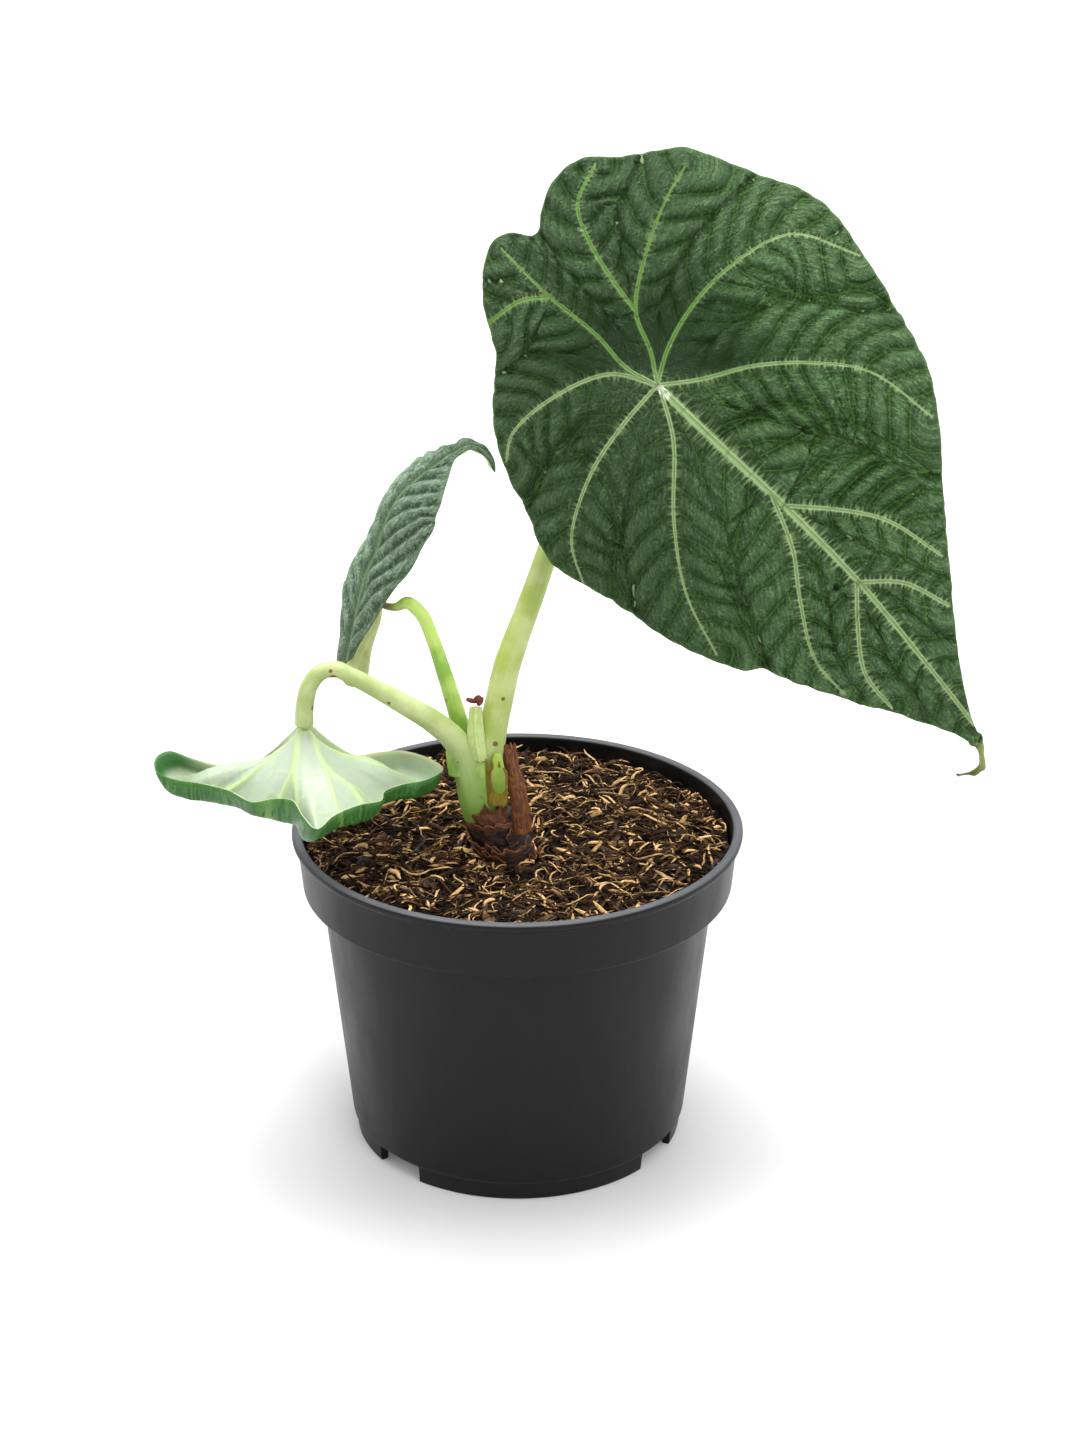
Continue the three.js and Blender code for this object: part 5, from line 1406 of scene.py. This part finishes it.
class MakePaleLeaf(PieceOperator):
    """Small leaf hanging upside down with its rim turned up"""

    bl_idname = "alocasia.make_pale_leaf"
    bl_label = "Hanging leaf"

    @staticmethod
    def place(rim, fraction):
        """Junction + (x f, y f, bell(run f) + f2 (z - bell(run)) - dip), where bell(d) is
        -13 (1 - exp(-d/8)), with a dip of f7 (1 - f) behind the rim, whose depth goes by the
        direction."""
        reach = rim - np.array(PALE_JUNCTION)
        x, y, z = reach[..., 0], reach[..., 1], reach[..., 2]
        run = np.hypot(x, y)
        bell = lambda d: -PALE_BELL_DEPTH * (1 - np.exp(-d / PALE_BELL_WIDTH))
        angles, depths = np.array(PALE_DIP).T
        towards = np.degrees(np.arctan2(y, x))
        depth = np.interp(np.where(towards < 85, towards + 360, towards), angles, depths)
        dip = depth * fraction**7 * (1 - fraction) / (PALE_DIP_PEAK**7 * (1 - PALE_DIP_PEAK))
        height = bell(run * fraction) + fraction**2 * (z - bell(run)) - dip
        return np.array(PALE_JUNCTION) + stacked(x * fraction, y * fraction, height)

    @staticmethod
    def dress(flat, fraction, sign):
        """Veins raised 0.5 exp(-(d/half width)2) and side veins 0.12 exp(-(d/0.5)2) on the upper,
        pale face, and a soft quilting of 0.55 (1 - exp(-(d/3)2)) between them."""
        flat = (flat - np.array(PALE_JUNCTION) * fraction[:, None])[:, :2]
        near, along, number, side, _, _, _ = vein_reach(flat, PALE_VEINS)
        reach = np.hypot(flat[:, 0], flat[:, 1])
        margin = rim_gap(reach, fraction)
        warp = rumple(flat[:, 0], flat[:, 1], 6, 71)
        bone = herringbone(along + warp, near, number, side, 4.6, 0.6, 0.02)
        half = 0.75 - 0.4 * ease(along, 4, 26)
        fade = ease(1 - fraction, 0, 0.06)
        puff = 0.55 * (1 - hump(near, 3)) * ease(reach, 4, 12) * fade
        cord = 0.5 * hump(near, half) * (1 if sign > 0 else -0.2)
        raised = (-puff + cord) * fade + 0.12 * hump(bone, 0.5) * fade * ease(reach, 4, 10)
        return raised, drawing(near, side, half, bone, margin, reach + 20, along, number * 7.3)

    @staticmethod
    def turned_back(f, colour, vein_colour):
        """Pale colour on the strip that folds over behind the left lobe."""
        x = f.axis(0)
        behind = (f.eased(f.axis(1), -19.0, -17.8) * f.eased(x, -88.0, -82.0)
                  * f.eased(x, -58.0, -56.0, 1.0, 0.0) * f.eased(f.axis(2), 109.8, 110.8))
        return f.mixed(behind, colour, colours().pale_leaf), vein_colour

    @staticmethod
    def rolled_edge(f, colour):
        """Green on the rolled end of the left lobe, painted olive shade inside the roll, and a
        green flush on the right lobe."""
        x = f.axis(0)
        left, right = f.eased(x, -90.0, -77.0, 1.0, 0.0), f.eased(x, -38.0, -24.0)
        # Painted shade: the left lobe's roll turns olive, for the shade inside it.
        colour = f.mixed(left * 0.6, colour, tint(110, 128, 84))
        colour = f.mixed(right * f.noise(f.mm, 0.5, 3) * 0.3, colour, tint(110, 150, 96))
        return f.mixed(left * f.eased(f.given("margin"), 1.2, 3.2, 1.0, 0.0), colour,
                       tint(52, 104, 44))

    def execute(self, context):
        upper = underside_finish("pale_blade", colours().pale_leaf, tint(158, 180, 148),
                                 tint(178, 200, 138), tint(168, 182, 138), marks=self.rolled_edge)
        lower = leaf_finish("pale_blade_green", tint(34, 78, 28), tint(58, 104, 48),
                            tint(108, 146, 78), tint(62, 112, 46), silver=0.5,
                            rough=(0.22, 0.36), wrinkle=0.05, line=0.3, marks=self.turned_back)
        blade_piece("hanging_leaf", "leaf_3", PALE_RIM, self, (0, 0, 1), PALE_GRID,
                    [upper, lower], 0.8)
        return {"FINISHED"}


class SetStage(PieceOperator):
    """Pale floor that glows more away from the pot, soft lights, white surroundings and camera"""

    bl_idname = "alocasia.set_stage"
    bl_label = "Stage"

    @staticmethod
    def floor():
        """Square of pale paper with a glow that rises with the distance from the pot."""
        mesh = bpy.data.meshes.new("floor")
        mesh.from_pydata([(x * FLOOR_HALF_WIDTH, y * FLOOR_HALF_WIDTH, FLOOR_LEVEL)
                          for x, y in ((-1, -1), (1, -1), (1, 1), (-1, 1))], [], [(0, 1, 2, 3)])
        floor = placed("floor", mesh)
        f = Finish("floor_paper", Specular_IOR_Level=0.1, Roughness=0.9,
                   Emission_Strength=FLOOR_GLOW)
        away = f.node("ShaderNodeVectorMath", {"operation": "LENGTH"}, [f.mm], output=1)
        glow = f.mixed(f.eased(away, GLOW_START, GLOW_END), (0.16, 0.16, 0.16), (1, 1, 1))
        f.tree.links.new(glow.socket, f.shader.inputs["Emission Color"])
        cloud = f.mixed(f.noise(f.mm, 0.01), (0.55, 0.55, 0.55), (0.57, 0.57, 0.57))
        mesh.materials.append(f.done(cloud))
        floor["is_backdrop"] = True

    def execute(self, context):
        scene = context.scene
        self.floor()
        for name, place, size, power in LIGHTS:
            light = bpy.data.lights.new(name, "AREA")
            light.size, light.energy = size, power
            placed(name, light, place, LIGHTS_AIM)
        sun = bpy.data.lights.new("sky", "SUN")
        sun.energy, sun.angle = SUN_POWER, math.radians(SUN_SPREAD)
        placed("sky", sun).rotation_euler = (math.radians(SUN_TILT), 0, 0)
        world = bpy.data.worlds.new("white_surroundings")
        world.use_nodes = True
        background = world.node_tree.nodes["Background"].inputs
        background["Color"].default_value = (1, 1, 1, 1)
        background["Strength"].default_value = WORLD_POWER
        scene.world = world
        scene.view_settings.view_transform = "Standard"
        camera = bpy.data.cameras.new("viewpoint")
        camera.lens = CAMERA_LENS
        camera.clip_start, camera.clip_end = 0.01, 60
        height = math.radians(CAMERA_HEIGHT_ANGLE)
        away = CAMERA_DISTANCE * Vector((0, -math.cos(height), math.sin(height)))
        scene.camera = placed("viewpoint", camera, Vector(CAMERA_AIM) + away, CAMERA_AIM)
        return {"FINISHED"}


class AlocasiaPanel(bpy.types.Panel):
    """Lists the pieces of the plant"""

    bl_idname = "VIEW3D_PT_alocasia"
    bl_label = "Potted maharani alocasia"
    bl_space_type = "VIEW_3D"
    bl_region_type = "UI"
    bl_category = "Alocasia"

    def draw(self, context):
        for maker in MAKERS:
            self.layout.operator(maker.bl_idname)
        for group in (context.scene.alocasia_sizes, context.scene.alocasia_colours):
            for key in group.__annotations__:
                self.layout.prop(group, key)


MAKERS = (SetStage, MakePot, MakeMix, MakeRhizome, MakeStalks, MakeLargeLeaf, MakeGreyLeaf,
          MakePaleLeaf)
CLASSES = (PlantSizes, PlantColours, *MAKERS, AlocasiaPanel)


def register():
    for cls in CLASSES:
        bpy.utils.register_class(cls)
    bpy.types.Scene.alocasia_sizes = bpy.props.PointerProperty(type=PlantSizes)
    bpy.types.Scene.alocasia_colours = bpy.props.PointerProperty(type=PlantColours)


def unregister():
    del bpy.types.Scene.alocasia_sizes, bpy.types.Scene.alocasia_colours
    for cls in reversed(CLASSES):
        bpy.utils.unregister_class(cls)


def main():
    register()
    for maker in MAKERS:
        group, name = maker.bl_idname.split(".")
        getattr(getattr(bpy.ops, group), name)()
    visual_box = [list(corner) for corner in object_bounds()]


if __name__ == "__main__":
    main()
